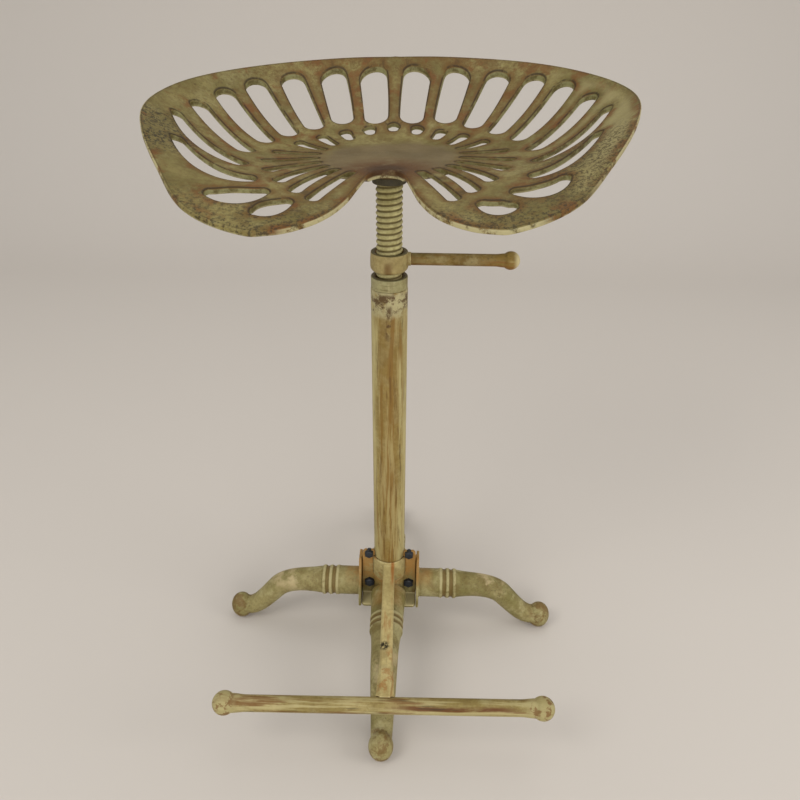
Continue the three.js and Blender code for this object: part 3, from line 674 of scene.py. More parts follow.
def meshFrom(work, name):
    mesh = bpy.data.meshes.new(name)
    work.to_mesh(mesh)
    work.free()
    return mesh


# The worker with its modifiers becomes a plain mesh, and is removed
def bakeModifiers(worker, name):
    bpy.context.view_layer.update()
    graph = bpy.context.evaluated_depsgraph_get()
    mesh = bpy.data.meshes.new_from_object(worker.evaluated_get(graph))
    mesh.name = name
    oldMesh = worker.data
    bpy.data.objects.remove(worker)
    bpy.data.meshes.remove(oldMesh)
    return mesh


def circle(radius, steps):
    angles = [2 * math.pi * i / steps for i in range(steps)]
    return [Vector((radius * math.cos(angle), radius * math.sin(angle))) for angle in angles]


# A turned piece round a vertical line, from its profile of (radius, height)
def turnedMesh(name, profile, steps, closed=False):
    work = bmesh.new()
    rows = []
    for radius, height in profile:
        points = circle(radius, steps) if radius > 1e-7 else [Vector((0, 0))]
        rows.append([work.verts.new((point.x, point.y, height)) for point in points])
    pairs = list(zip(rows, rows[1:]))
    if closed:
        pairs.append((rows[-1], rows[0]))
    for low, high in pairs:
        for i in range(steps):
            j = (i + 1) % steps
            corners = [low[i % len(low)], low[j % len(low)], high[j % len(high)], high[i % len(high)]]
            face = [corner for k, corner in enumerate(corners) if corner not in corners[:k]]
            if len(face) > 2:
                work.faces.new(face)
    bmesh.ops.recalc_face_normals(work, faces=work.faces)
    return meshFrom(work, name)


# The profile with rounded corners, none of which takes more than a given share of a side
def softened(profile, edge, closed=False, steps=3, most=0.4):
    result = []
    count = len(profile)
    for i, point in enumerate(profile):
        if not closed and i in (0, count - 1):
            result.append(point)
            continue
        here = Vector(point)
        before = Vector(profile[i - 1])
        after = Vector(profile[(i + 1) % count])
        size = min(edge, most * (before - here).length, most * (after - here).length)
        start = here + (before - here).normalized() * size
        end = here + (after - here).normalized() * size
        for step in range(steps + 1):
            t = step / steps
            curve = start * (1 - t) ** 2 + here * 2 * t * (1 - t) + end * t ** 2
            result.append((curve.x, curve.y))
    return result


# The outside of a ball from a neck of a given radius to its pole, as (radius, height)
def ballProfile(radius, centre, neckRadius, steps=14):
    start = math.pi - math.asin(neckRadius / radius)
    angles = [start * (1 - i / steps) for i in range(steps + 1)]
    return [(radius * math.sin(angle), centre + radius * math.cos(angle)) for angle in angles]


def ramp(value, low, high):
    t = min(1, max(0, (value - low) / (high - low)))
    return t * t * (3 - 2 * t)


def bezier(start, middle, end, t):
    return start * (1 - t) ** 2 + middle * 2 * t * (1 - t) + end * t * t


# Smooth curve from start to end, with the slopes at which it leaves and arrives
def hermite(start, leave, end, arrive, t):
    return (start * (1 + 2 * t) * (1 - t) ** 2 + leave * t * (1 - t) ** 2
            + end * t * t * (3 - 2 * t) + arrive * t * t * (t - 1))


# Seat pan, its outlines given in plan as shares of the half width

seat = {
    "halfWidth": 0.223,
    "height": 0.6075,
    "backRise": 0.072,
    "lean": 1,                  # degrees, the right side is higher
    "discShare": 0.278,
    "thickness": 0.0051,
    "ringThickness": 0.004,
    "ringOut": (0.3, 0.5),      # where the pan grows from the thin ring to its full thickness
    "discThickness": 0.0078,
    "discOut": (0.01, 0.1),
    "rimRound": (0.0022, 0.0018, 0.001),     # inwards, down from the top, up from below
    "slotRound": (0.0017, 0.0016, 0.0009),
    "roundSteps": 4,
    "rimSteps": 180,
    "notchSteps": 8,
    "smoothRounds": 3,
    "slotSteps": 16,
    "slotEndSteps": 10,
    "slotTip": 0.34,            # length of a slot's round end as a share of its width
    "loopStep": 0.0022,
    "gridStep": 0.0034,
    "gridClear": 0.65,          # share of a grid step kept free beside an edge
    "slopeStep": 0.0015,
    "bossRadius": 0.024,
    "bossTipRadius": 0.020,
    "bossBottom": 0.5915,
    "bossEdge": 0.0012,
    "bossDraft": 0.3,           # share of its edge by which the boss is wider above it
    "socketRadius": 0.0135,
    "socketTop": 0.6038,
    "circleSteps": 48,
}

# Every 15 degrees from the front centre to the back centre
rimRadiusShares = [0.762, 0.78, 0.857, 0.928, 0.935, 0.965, 0.992, 0.985, 0.938, 0.903, 0.852, 0.789, 0.749]
rimHeightShares = [-0.25, -0.26, -0.25, -0.065, 0.235, 0.535, 0.7, 0.799, 0.882, 0.931, 0.965, 0.993, 1]
bowlPowers = [1, 1.2, 1.4, 1.7, 2.1, 2.4, 2.4, 2.35, 2.1, 1.85, 1.7, 1.6, 1.5]
leftBulges = [(2.5, 1.3, 0.028), (7.7, 0.9, 0.03)]     # place, spread and share, on the left side only

# Right side from the back round to the front lobe: centre line; inner, middle and outer width
largeSlots = [
    ([(0.083, 0.485), (0.09, 0.587), (0.104, 0.675)], (0.11, 0.122, 0.13)),
    ([(0.242, 0.475), (0.266, 0.58), (0.297, 0.672)], (0.104, 0.118, 0.124)),
    ([(0.368, 0.404), (0.42, 0.502), (0.486, 0.616)], (0.094, 0.11, 0.118)),
    ([(0.471, 0.309), (0.55, 0.408), (0.645, 0.522)], (0.088, 0.104, 0.11)),
    ([(0.556, 0.193), (0.652, 0.287), (0.762, 0.4)], (0.08, 0.098, 0.102)),
    ([(0.6, 0), (0.715, 0.123), (0.845, 0.252)], (0.076, 0.088, 0.084)),
]
rightFrontSlots = [
    ([(0.585, -0.21), (0.742, -0.118), (0.893, 0.09)], (0.06, 0.07, 0.042)),
    ([(0.548, -0.388), (0.68, -0.382), (0.822, -0.118)], (0.056, 0.066, 0.034)),
    ([(0.47, -0.5), (0.583, -0.559), (0.648, -0.462)], (0.046, 0.098, 0.046)),
    ([(0.348, -0.561), (0.403, -0.624), (0.457, -0.6)], (0.04, 0.088, 0.044)),
]
leftFrontSlots = [
    ([(0.575, -0.222), (0.745, -0.145), (0.897, 0.085)], (0.07, 0.09, 0.044)),
    ([(0.5, -0.386), (0.675, -0.431), (0.828, -0.165)], (0.062, 0.088, 0.046)),
    ([(0.43, -0.486), (0.516, -0.565), (0.612, -0.553)], (0.046, 0.112, 0.052)),
    ([(0.335, -0.545), (0.394, -0.617), (0.441, -0.636)], (0.042, 0.092, 0.042)),
]

ringSlots = {
    "count": 21,
    "sweep": 306,               # degrees, open towards the notch
    "inner": 0.276,
    "innerBackShift": 0.112,
    "innerBackPower": 3,
    "outer": 0.44,
    "outerFrontReach": 0.16,
    "width": 0.05,
    "backWidth": 0.008,
    "backWidthPower": 4,
    "taper": 0.74,
    "swing": 13,                # degrees that an outer end is turned forwards at most
    "swingFrom": 60,
    "swingSpan": 95,
    "swingMiddle": 0.38,        # share of the swing at mid length
}

notchSide = [(0, -0.224), (0.045, -0.251), (0.076, -0.323), (0.099, -0.413), (0.126, -0.502),
             (0.166, -0.592), (0.224, -0.664), (0.314, -0.718), (0.413, -0.742), (0.5, -0.78)]


# Smooth curve through evenly spaced values
def smoothShare(shares, place):
    last = len(shares) - 1
    i = min(int(place), last - 1)

    def slope(k):
        low, high = max(k - 1, 0), min(k + 1, last)
        return (shares[high] - shares[low]) / (high - low)

    return hermite(shares[i], slope(i), shares[i + 1], slope(i + 1), place - i)


# Where an angle from -90 to 90 degrees lies along the shares
def placeAt(angle):
    return (angle / math.pi + 0.5) * (len(rimRadiusShares) - 1)


def rimPlace(x, y):
    sine = y / max(math.hypot(x, y), 1e-9)
    return placeAt(math.asin(max(-1, min(1, sine))))


def rimRadius(place, x=0.0):
    radius = seat["halfWidth"] * smoothShare(rimRadiusShares, place)
    if x < 0:
        radius *= 1 + sum(share * math.exp(-((place - middle) / spread) ** 2) for middle, spread, share in leftBulges)
    return radius


def bowlOut(x, y, place):
    disc = seat["discShare"] * seat["halfWidth"]
    return max(0, (math.hypot(x, y) - disc) / (rimRadius(place, x) - disc))


def panHeight(x, y):
    place = rimPlace(x, y)
    out = bowlOut(x, y, place) ** smoothShare(bowlPowers, place)
    return seat["height"] + seat["backRise"] * smoothShare(rimHeightShares, place) * out


def panThickness(x, y):
    step = seat["slopeStep"]
    slopeX = (panHeight(x + step, y) - panHeight(x - step, y)) / (2 * step)
    slopeY = (panHeight(x, y + step) - panHeight(x, y - step)) / (2 * step)
    out = bowlOut(x, y, rimPlace(x, y))
    thickness = seat["ringThickness"] + (seat["thickness"] - seat["ringThickness"]) * ramp(out, *seat["ringOut"])
    thickness += (seat["discThickness"] - thickness) * (1 - ramp(out, *seat["discOut"]))
    return thickness * math.sqrt(1 + slopeX ** 2 + slopeY ** 2)


def leaned(x, y, z):
    turn = math.radians(seat["lean"])
    up = z - seat["height"]
    return (x * math.cos(turn) - up * math.sin(turn), y,
            seat["height"] + x * math.sin(turn) + up * math.cos(turn))


def curveThrough(points, steps):
    last = len(points) - 1
    line = []
    for i in range(last):
        start, end = points[i], points[i + 1]
        leave = (end - points[max(i - 1, 0)]) / 2
        arrive = (points[min(i + 2, last)] - start) / 2
        line += [hermite(start, leave, end, arrive, step / steps) for step in range(steps)]
    return line + [points[last]]


# The same closed line in equal short steps
def evenly(line, step):
    path = line + [line[0]]
    lengths = [0]
    for start, end in zip(path, path[1:]):
        lengths.append(lengths[-1] + (end - start).length)
    count = round(lengths[-1] / step)
    result = []
    k = 0
    for i in range(count):
        goal = lengths[-1] * i / count
        while lengths[k + 1] <= goal:
            k += 1
        result.append(path[k].lerp(path[k + 1], (goal - lengths[k]) / (lengths[k + 1] - lengths[k])))
    return result


def mirrored(loop):
    return [Vector((-point.x, point.y)) for point in reversed(loop)]


def seatOutline():
    right = []
    for point in curveThrough([Vector(share) * seat["halfWidth"] for share in notchSide], seat["notchSteps"]):
        if point.length > rimRadius(rimPlace(*point)):
            break
        right.append(point)
    start = math.atan2(right[-1].y, right[-1].x)
    for i in range(1, seat["rimSteps"] + 1):
        angle = start + (math.pi / 2 - start) * i / seat["rimSteps"]
        radius = rimRadius(placeAt(angle))
        right.append(Vector((radius * math.cos(angle), radius * math.sin(angle))))
    left = []
    for point in mirrored(right[1:-1]):
        place = rimPlace(*point)
        left.append(point * (rimRadius(place, point.x) / rimRadius(place)))
    loop = evenly(right + left, seat["loopStep"])
    for _ in range(seat["smoothRounds"]):
        loop = [(loop[i - 1] + 2 * loop[i] + loop[(i + 1) % len(loop)]) / 4 for i in range(len(loop))]
    return loop


def slotLoop(line, widths):
    start, middle, end = (Vector(share) * seat["halfWidth"] for share in line)
    inner, between, outer = (width * seat["halfWidth"] for width in widths)
    left, right = [], []
    for i in range(seat["slotSteps"] + 1):
        t = i / seat["slotSteps"]
        point = bezier(start, middle, end, t)
        ahead = ((middle - start) * (1 - t) + (end - middle) * t).normalized()
        across = Vector((-ahead.y, ahead.x)) * bezier(inner, 2 * between - (inner + outer) / 2, outer, t) / 2
        left.append(point + across)
        right.append(point - across)

    def roundEnd(point, ahead, width):
        across = Vector((-ahead.y, ahead.x))
        angles = [math.pi * k / seat["slotEndSteps"] for k in range(1, seat["slotEndSteps"])]
        return [point + (ahead * seat["slotTip"] * math.sin(a) - across * math.cos(a) / 2) * width for a in angles]

    farEnd = roundEnd(end, (end - middle).normalized(), outer)
    nearEnd = roundEnd(start, (start - middle).normalized(), inner)
    return evenly(right + farEnd + left[::-1] + nearEnd, seat["loopStep"])


def ringSlotLoops():
    ring, tip = ringSlots, seat["slotTip"]
    loops = []
    for i in range(ring["count"]):
        turn = (i / (ring["count"] - 1) - 0.5) * ring["sweep"]
        back = (1 + math.cos(math.radians(turn))) / 2
        width = ring["width"] + ring["backWidth"] * back ** ring["backWidthPower"]
        inner = ring["inner"] + ring["innerBackShift"] * back ** ring["innerBackPower"] + tip * width
        outer = ring["outer"] + ring["outerFrontReach"] * (1 - back) - tip * width
        forward = (abs(turn) - ring["swingFrom"]) / ring["swingSpan"]
        swing = math.copysign(ring["swing"] * math.sin(math.pi * min(1, max(0, forward))), turn)

        def at(radius, share):
            angle = math.radians(turn + swing * share)
            return Vector((math.sin(angle), math.cos(angle))) * radius

        narrow = ring["taper"] * width
        line = [at(inner, 0), at((inner + outer) / 2, ring["swingMiddle"]), at(outer, 1)]
        loops.append(slotLoop(line, (narrow, (narrow + width) / 2, width)))
    return loops


def inwardNormals(loop):
    normals = []
    for i in range(len(loop)):
        ahead = (loop[(i + 1) % len(loop)] - loop[i - 1]).normalized()
        normals.append(Vector((-ahead.y, ahead.x)))
    return normals


def bridge(work, rows):
    for low, high in zip(rows, rows[1:]):
        for i in range(len(low)):
            j = (i + 1) % len(low)
            work.faces.new((low[i], low[j], high[j], high[i]))


def planTree(points):
    tree = KDTree(len(points))
    for i, point in enumerate(points):
        tree.insert((point.x, point.y, 0), i)
    tree.balance()
    return tree


# The plan in triangles: a row of points just inside every edge, the boss and socket, and a grid between them.
# Returns its points, its triangles, the outlines that hold each triangle, and each outline's points.
def seatPlan(loops, circles):
    plan, shapes = [], []
    insets = [[point + normal * size[0] for point, normal in zip(loop, normals)] for loop, normals, size in loops]
    for points in insets + circles:
        shapes.append(list(range(len(plan), len(plan) + len(points))))
        plan += points
    taken = planTree(plan)
    step = seat["gridStep"]
    clear = seat["gridClear"] * step
    across = math.ceil(seat["halfWidth"] / step)
    for row in range(-across, across + 1):
        for column in range(-across, across + 1):
            x = (column + 0.5 * (row % 2)) * step
            y = row * step * math.sqrt(3) / 2
            if math.hypot(x, y) < rimRadius(rimPlace(x, y), x) and taken.find((x, y, 0))[2] > clear:
                plan.append(Vector((x, y)))
    flat, _, triangles, origins, _, owners = delaunay_2d_cdt(plan, [], shapes, 1, 1e-9)
    planToFlat = {given: i for i, source in enumerate(origins) for given in source}
    return flat, triangles, owners, [[planToFlat[i] for i in shape] for shape in shapes]


def addSeatCasting():
    slotLoops = [slotLoop(*slot) for slot in largeSlots + rightFrontSlots] + ringSlotLoops()
    slotLoops += [mirrored(slotLoop(*slot)) for slot in largeSlots + leftFrontSlots]
    outline = seatOutline()
    loops = [(outline, inwardNormals(outline), seat["rimRound"])]
    loops += [(loop, [-normal for normal in inwardNormals(loop)], seat["slotRound"]) for loop in slotLoops]
    boss, socket = (circle(seat[key], seat["circleSteps"]) for key in ("bossRadius", "socketRadius"))
    flat, triangles, owners, borders = seatPlan(loops, [boss, socket])
    edges = planTree([point for loop, _, _ in loops for point in loop])

    work = bmesh.new()
    edgeLayer = work.verts.layers.float.new("edgeDistance")
    wallLayer = work.verts.layers.float.new("wallShare")
    rimLayer = work.verts.layers.float.new("rimShare")

    def vertexAt(point, z, edge, lean=True):
        vertex = work.verts.new(leaned(point.x, point.y, z) if lean else (point.x, point.y, z))
        vertex[edgeLayer] = edge
        return vertex

    upper, lower = {}, {}

    def upperAt(i):
        if i not in upper:
            x, y = flat[i]
            upper[i] = vertexAt(flat[i], panHeight(x, y), edges.find((x, y, 0))[2])
        return upper[i]

    def lowerAt(i, inSocket):
        if i not in lower:
            x, y = flat[i]
            if inSocket:
                lower[i] = vertexAt(flat[i], seat["socketTop"], 1.0, False)
            else:
                lower[i] = vertexAt(flat[i], panHeight(x, y) - panThickness(x, y), edges.find((x, y, 0))[2])
        return lower[i]

    # Top and underside, left open in the slots and where the boss stands
    for triangle, owner in zip(triangles, owners):
        if 0 not in owner or any(0 < one < len(loops) for one in owner):
            continue
        work.faces.new([upperAt(i) for i in triangle])
        if len(borders) - 1 in owner:
            work.faces.new([lowerAt(i, True) for i in reversed(triangle)])
        elif len(owner) == 1:
            work.faces.new([lowerAt(i, False) for i in reversed(triangle)])

    # Rounded edge, wall and rounded lower edge of the rim and of every slot
    angles = [math.pi / 2 * (1 - k / seat["roundSteps"]) for k in range(1, seat["roundSteps"] + 1)]
    for (loop, normals, (inwards, down, up)), border in zip(loops, borders):
        layer = rimLayer if loop is outline else wallLayer
        tops, bottoms = [], []
        for k, angle in enumerate(angles):
            offset = inwards * (1 - math.cos(angle))
            top, bottom = [], []
            for point, normal in zip(loop, normals):
                place = point + normal * offset
                height = panHeight(place.x, place.y)
                floor = height - panThickness(place.x, place.y)
                top.append(vertexAt(place, height - down * (1 - math.sin(angle)), offset))
                bottom.append(vertexAt(place, floor + up * (1 - math.sin(angle)), seatPaint["underMark"]))
                top[-1][layer] = bottom[-1][layer] = (k + 1) / seat["roundSteps"]
            tops.append(top)
            bottoms.append(bottom)
        bridge(work, [[upper[i] for i in border]] + tops + bottoms[::-1] + [[lower[i] for i in border]])

    # Boss and screw socket underneath
    tip, edge, bottom = seat["bossTipRadius"], seat["bossEdge"], seat["bossBottom"]
    rows = [[lower[i] for i in borders[-2]]]
    for radius, height in ((tip + edge * seat["bossDraft"], bottom + edge), (tip - edge, bottom),
                           (seat["socketRadius"], bottom)):
        rows.append([vertexAt(point * radius / seat["bossRadius"], height, 1.0, False) for point in boss])
    rows.append([lower[i] for i in borders[-1]])
    bridge(work, rows)
    bmesh.ops.recalc_face_normals(work, faces=work.faces)
    addPiece("seatCasting", meshFrom(work, "seatCasting"), seatMaterial, "seat", "seat_paint", "seat_casting")


addSeatCasting()

# Legs and footrest arm: the CAD solid's copy, with a finer leg and toe over its own, is remeshed and smoothed

leg = {
    "reach": 0.2001,
    "axisHeight": 0.0693,
    "rootRadius": 0.0182,
    "toeRadius": 0.014,
    "toeHalfHeight": 0.0186,
    "toeAxisHeight": 0.0176,
    "toeSegments": (48, 32),
    "sides": 56,
    "stationStep": 0.0011,
    "endShare": 0.99,
    "slopeShare": 0.003,
}

# Heading in degrees, and how far out the finer leg starts
legPlaces = {"front": (-90, 0.0225), "rear": (90, 0.0225), "left": (180, 0.0367), "right": (0, 0.0367)}

# Shares of the reach and of the axis height at the hub, then of the reach and of the root radius
legAxis = [(0.04, 1), (0.3, 1), (0.45, 0.995), (0.57, 0.985), (0.64, 0.95), (0.69, 0.895), (0.73, 0.815),
           (0.775, 0.67), (0.82, 0.52), (0.865, 0.385), (0.91, 0.295), (0.95, 0.265), (0.99, 0.27)]
legTaper = [(0.44, 0.95), (0.5, 0.87), (0.57, 0.82), (0.64, 0.8), (0.69, 0.785), (0.73, 0.77), (0.775, 0.745),
            (0.82, 0.715), (0.87, 0.69), (0.93, 0.67), (0.99, 0.65)]

# Share of the reach and factor of the width, for the front leg, which is the widest, and for the others
frontWidth = [(0.1, 1.25), (0.3, 1.12), (0.44, 1.08), (0.7, 1.08), (0.97, 1.0)]
plainWidth = [(0, 1), (1, 1)]

casting = {
    "legVoxel": 0.0009,
    "legRounds": 2,
    "armVoxel": 0.0008,
    "armRounds": 3,
    "smoothFactor": 0.5,
    "mergeDistance": 1e-6,
}


# Smooth curve through a table of (place, value)
def smoothValue(table, x):
    last = len(table) - 1
    if x <= table[0][0]:
        return table[0][1]
    if x >= table[last][0]:
        return table[last][1]
    i = next(k for k in range(last) if table[k + 1][0] > x)

    def slope(k):
        low, high = table[max(k - 1, 0)], table[min(k + 1, last)]
        return (high[1] - low[1]) / (high[0] - low[0])

    (here, value), (there, following) = table[i], table[i + 1]
    step = there - here
    return hermite(value, slope(i) * step, following, slope(i + 1) * step, (x - here) / step)


def legRadius(out):
    pitch, width, edge = bands["pitch"], bands["width"], bands["edge"]
    lastEnd = bands["start"] + (bands["count"] - 1) * pitch + width
    if out > leg["reach"] * legTaper[0][0]:
        radius = leg["rootRadius"] * smoothValue(legTaper, out / leg["reach"])
    else:
        radius = leg["rootRadius"] * (1 - (1 - legTaper[0][1]) * ramp(out, lastEnd, lastEnd + edge))
    for i in range(bands["count"]):
        start = bands["start"] + i * pitch
        end = start + width
        radius += bands["rise"] * ramp(out, start - edge, start) * ramp(out, end + edge, end)
        if i + 1 < bands["count"]:
            following = start + pitch
            radius -= bands["groove"] * ramp(out, end, end + edge) * ramp(out, following, following - edge)
    return radius


def addFineLeg(work, heading, start, widths):
    turn = Matrix.Rotation(math.radians(heading), 4, "Z")
    reach, axisHeight, step = leg["reach"], leg["axisHeight"], leg["slopeShare"]
    length = leg["endShare"] * reach - start
    count = round(length / leg["stationStep"])
    rows = []
    for i in range(count + 1):
        out = start + length * i / count
        share = out / reach
        height = axisHeight * smoothValue(legAxis, share)
        rise = smoothValue(legAxis, share + step) - smoothValue(legAxis, share - step)
        slope = axisHeight / reach * rise / (2 * step)
        normal = Vector((-slope, 1)).normalized()
        radius = legRadius(out)
        row = []
        for k in range(leg["sides"]):
            angle = 2 * math.pi * k / leg["sides"]
            up = radius * math.cos(angle)
            across = radius * math.sin(angle) * smoothValue(widths, share)
            row.append(work.verts.new(turn @ Vector((out + normal.x * up, across, height + normal.y * up))))
        rows.append(row)
    bridge(work, rows)
    work.faces.new(rows[0][::-1])
    work.faces.new(rows[-1])
    around, over = leg["toeSegments"]
    toe = bmesh.ops.create_uvsphere(work, u_segments=around, v_segments=over, radius=1)
    for vertex in toe["verts"]:
        vertex.co = turn @ Vector((reach + vertex.co.x * leg["toeRadius"], vertex.co.y * leg["toeRadius"],
                                   max(0, leg["toeAxisHeight"] + vertex.co.z * leg["toeHalfHeight"])))


def mergedCopy(node):
    work = bmesh.new()
    work.from_mesh(nodes[node].data)
    bmesh.ops.remove_doubles(work, verts=work.verts, dist=casting["mergeDistance"])
    return work


def addCasting(work, name, node, material, slot, voxel, rounds):
    worker = bpy.data.objects.new(name, meshFrom(work, name))
    scene.collection.objects.link(worker)
    remesh = worker.modifiers.new("remesh", "REMESH")
    remesh.mode = "VOXEL"
    remesh.voxel_size = voxel
    smooth = worker.modifiers.new("smooth", "SMOOTH")
    smooth.factor = casting["smoothFactor"]
    smooth.iterations = rounds
    addPiece(name, bakeModifiers(worker, name), material, "base", slot, node)


for side, (heading, start) in legPlaces.items():
    fineLeg = mergedCopy(f"{side}_leg")
    addFineLeg(fineLeg, heading, start, frontWidth if side == "front" else plainWidth)
    addCasting(fineLeg, f"{side}Leg", f"{side}_leg", legMaterial, "leg_paint", casting["legVoxel"],
               casting["legRounds"])
addCasting(mergedCopy("footrest_arm"), "footrestArm", "footrest_arm", armMaterial, "footrest_paint",
           casting["armVoxel"], casting["armRounds"])
print("castings ready")

# Turned pieces: post, bush, nut, lock collar with its lever, and the footrest bar

turnedParts = {
    "steps": 96,
    "gap": 0.0003,
    "postWall": 0.003,
    "postEdge": 0.0008,
    "bushHeadRadius": 0.0187,
    "bushBoreEdge": 0.0015,
    "nutEdge": 0.0014,
    "corner": 0.0005,
}

collar = {
    "radius": 0.0192,
    "leverHeight": 0.5096,
    "crown": 0.0005,
    "topEdge": 0.0006,
    "boreEdge": 0.0015,
    "footInset": 0.0026,
    "footHeight": 0.0044,
    "corner": 0.0007,
    "bossRadius": 0.0068,
    "bossStart": 0.0155,
    "bossReach": 0.0218,
    "bossCorner": 0.0008,
}

lever = {
    "radius": 0.00615,
    "reach": 0.13,
    "ballRadius": 0.0092,
    "neck": 0.009,
    "flare": 0.0008,
    "steps": 48,
}

footrestBar = {
    "radius": 0.0087,
    "halfLength": 0.1823,
    "ballRadius": 0.0127,
    "neck": 0.016,
    "flare": 0.0012,
    "steps": 64,
    "turn": 1.3,                # degrees round the post
    "shift": -0.0018,
    "drop": 0.001,
}


def addRing(name, node, profile, edge, material, body, slot):
    mesh = turnedMesh(name, softened(profile, edge, True), turnedParts["steps"], True)
    addPiece(name, mesh, material, body, slot, node)


# The profile of a round bar from start to reach, with a flared neck and a ball at its end
def barProfile(size, start, reach, steps=8):
    centre = reach - size["ballRadius"]
    neckRadius = size["radius"] + size["flare"]
    neckEnd = centre - math.sqrt(size["ballRadius"] ** 2 - neckRadius ** 2)
    neckStart = neckEnd - size["neck"]
    points = [(size["radius"], start)]
    points += [(size["radius"] + size["flare"] * ramp(i, 0, steps), neckStart + size["neck"] * i / steps)
               for i in range(steps + 1)]
    return points + ballProfile(size["ballRadius"], centre, neckRadius)[1:]


postLow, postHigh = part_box("post_tube")
bushLow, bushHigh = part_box("post_bush")
screwLow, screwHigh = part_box("lift_screw")
nutLow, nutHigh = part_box("seat_jam_nut")
collarLow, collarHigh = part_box("lock_collar")
postOuter = (postHigh.x - postLow.x) / 2
postBore = postOuter - turnedParts["postWall"]
screwOuter = (screwHigh.x - screwLow.x) / 2
threadBore = screwOuter + turnedParts["gap"]

edge = turnedParts["postEdge"]
addRing("postTube", "post_tube", [(postBore, postLow.z), (postOuter, postLow.z), (postOuter, postHigh.z - edge),
                                  (postOuter - edge, postHigh.z), (postBore, postHigh.z)],
        turnedParts["corner"], postMaterial, "base", "post_paint")

head, edge = turnedParts["bushHeadRadius"], turnedParts["bushBoreEdge"]
bushJoint = postHigh.z + turnedParts["gap"]
addRing("postBush", "post_bush", [(threadBore, bushLow.z), (postBore - turnedParts["gap"], bushLow.z),
                                  (postBore - turnedParts["gap"], bushJoint), (head, bushJoint),
                                  (head, bushHigh.z - edge / 2), (head - edge / 2, bushHigh.z),
                                  (threadBore + edge, bushHigh.z), (threadBore, bushHigh.z - edge)],
        turnedParts["corner"], bushMaterial, "base", "plain_steel")

nutOuter = (nutHigh.x - nutLow.x) / 2
addRing("seatJamNut", "seat_jam_nut", [(threadBore, nutLow.z), (nutOuter, nutLow.z), (nutOuter, nutHigh.z),
                                       (threadBore, nutHigh.z)],
        turnedParts["nutEdge"], nutMaterial, "seat", "dark_steel")


# Lays an upright mesh down along +X at a height, then moves it and turns it round the post
def alongX(mesh, height, turn=0.0, move=(0, 0, 0)):
    mesh.transform(Matrix.Rotation(math.radians(turn), 4, "Z") @ Matrix.Translation(Vector(move))
                   @ Matrix.Translation((0, 0, height)) @ Matrix.Rotation(math.pi / 2, 4, "Y"))
    return mesh


def joinedMesh(name, *meshes):
    work = bmesh.new()
    for mesh in meshes:
        work.from_mesh(mesh)
    return meshFrom(work, name)


def addLock():
    outer, top, low, reach = collar["radius"], collarHigh.z, collarLow.z, collar["bossReach"]
    inset, foot, crown = collar["footInset"], collar["footHeight"], collar["crown"]
    ring = [(threadBore, low), (outer - inset, low), (outer - inset / 4, low + foot / 2), (outer, low + foot),
            (outer, collar["leverHeight"]), (outer - crown, top - collar["topEdge"]),
            (outer - crown - collar["topEdge"], top), (threadBore + collar["boreEdge"], top),
            (threadBore, top - collar["boreEdge"])]
    ringMesh = turnedMesh("collarRing", softened(ring, collar["corner"], True), turnedParts["steps"], True)
    boss = [(0, collar["bossStart"]), (collar["bossRadius"], collar["bossStart"]), (collar["bossRadius"], reach),
            (0, reach)]
    bossMesh = alongX(turnedMesh("collarBoss", softened(boss, collar["bossCorner"]), lever["steps"]),
                      collar["leverHeight"])
    addPiece("lockCollar", joinedMesh("lockCollar", ringMesh, bossMesh), lockMaterial, "lock", "lock_paint",
             "lock_collar")
    bar = turnedMesh("lockLever", [(0, reach)] + barProfile(lever, reach, lever["reach"]), lever["steps"])
    addPiece("lockLever", alongX(bar, collar["leverHeight"]), leverMaterial, "lock", "lock_paint", "lock_lever")


def addFootrestBar():
    low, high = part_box("footrest_bar")
    half = barProfile(footrestBar, 0, footrestBar["halfLength"])
    profile = [(radius, -height) for radius, height in reversed(half[1:])] + half
    turn = footrestBar["turn"]
    middle = Matrix.Rotation(math.radians(-turn), 4, "Z") @ ((low + high) / 2)
    place = (footrestBar["shift"], middle.y, -footrestBar["drop"])
    mesh = alongX(turnedMesh("footrestBar", profile, footrestBar["steps"]), middle.z, turn, place)
    addPiece("footrestBar", mesh, barMaterial, "base", "footrest_paint", "footrest_bar")


addLock()
addFootrestBar()
print("turned pieces ready")

# Geometry nodes, for the thread and the bolts


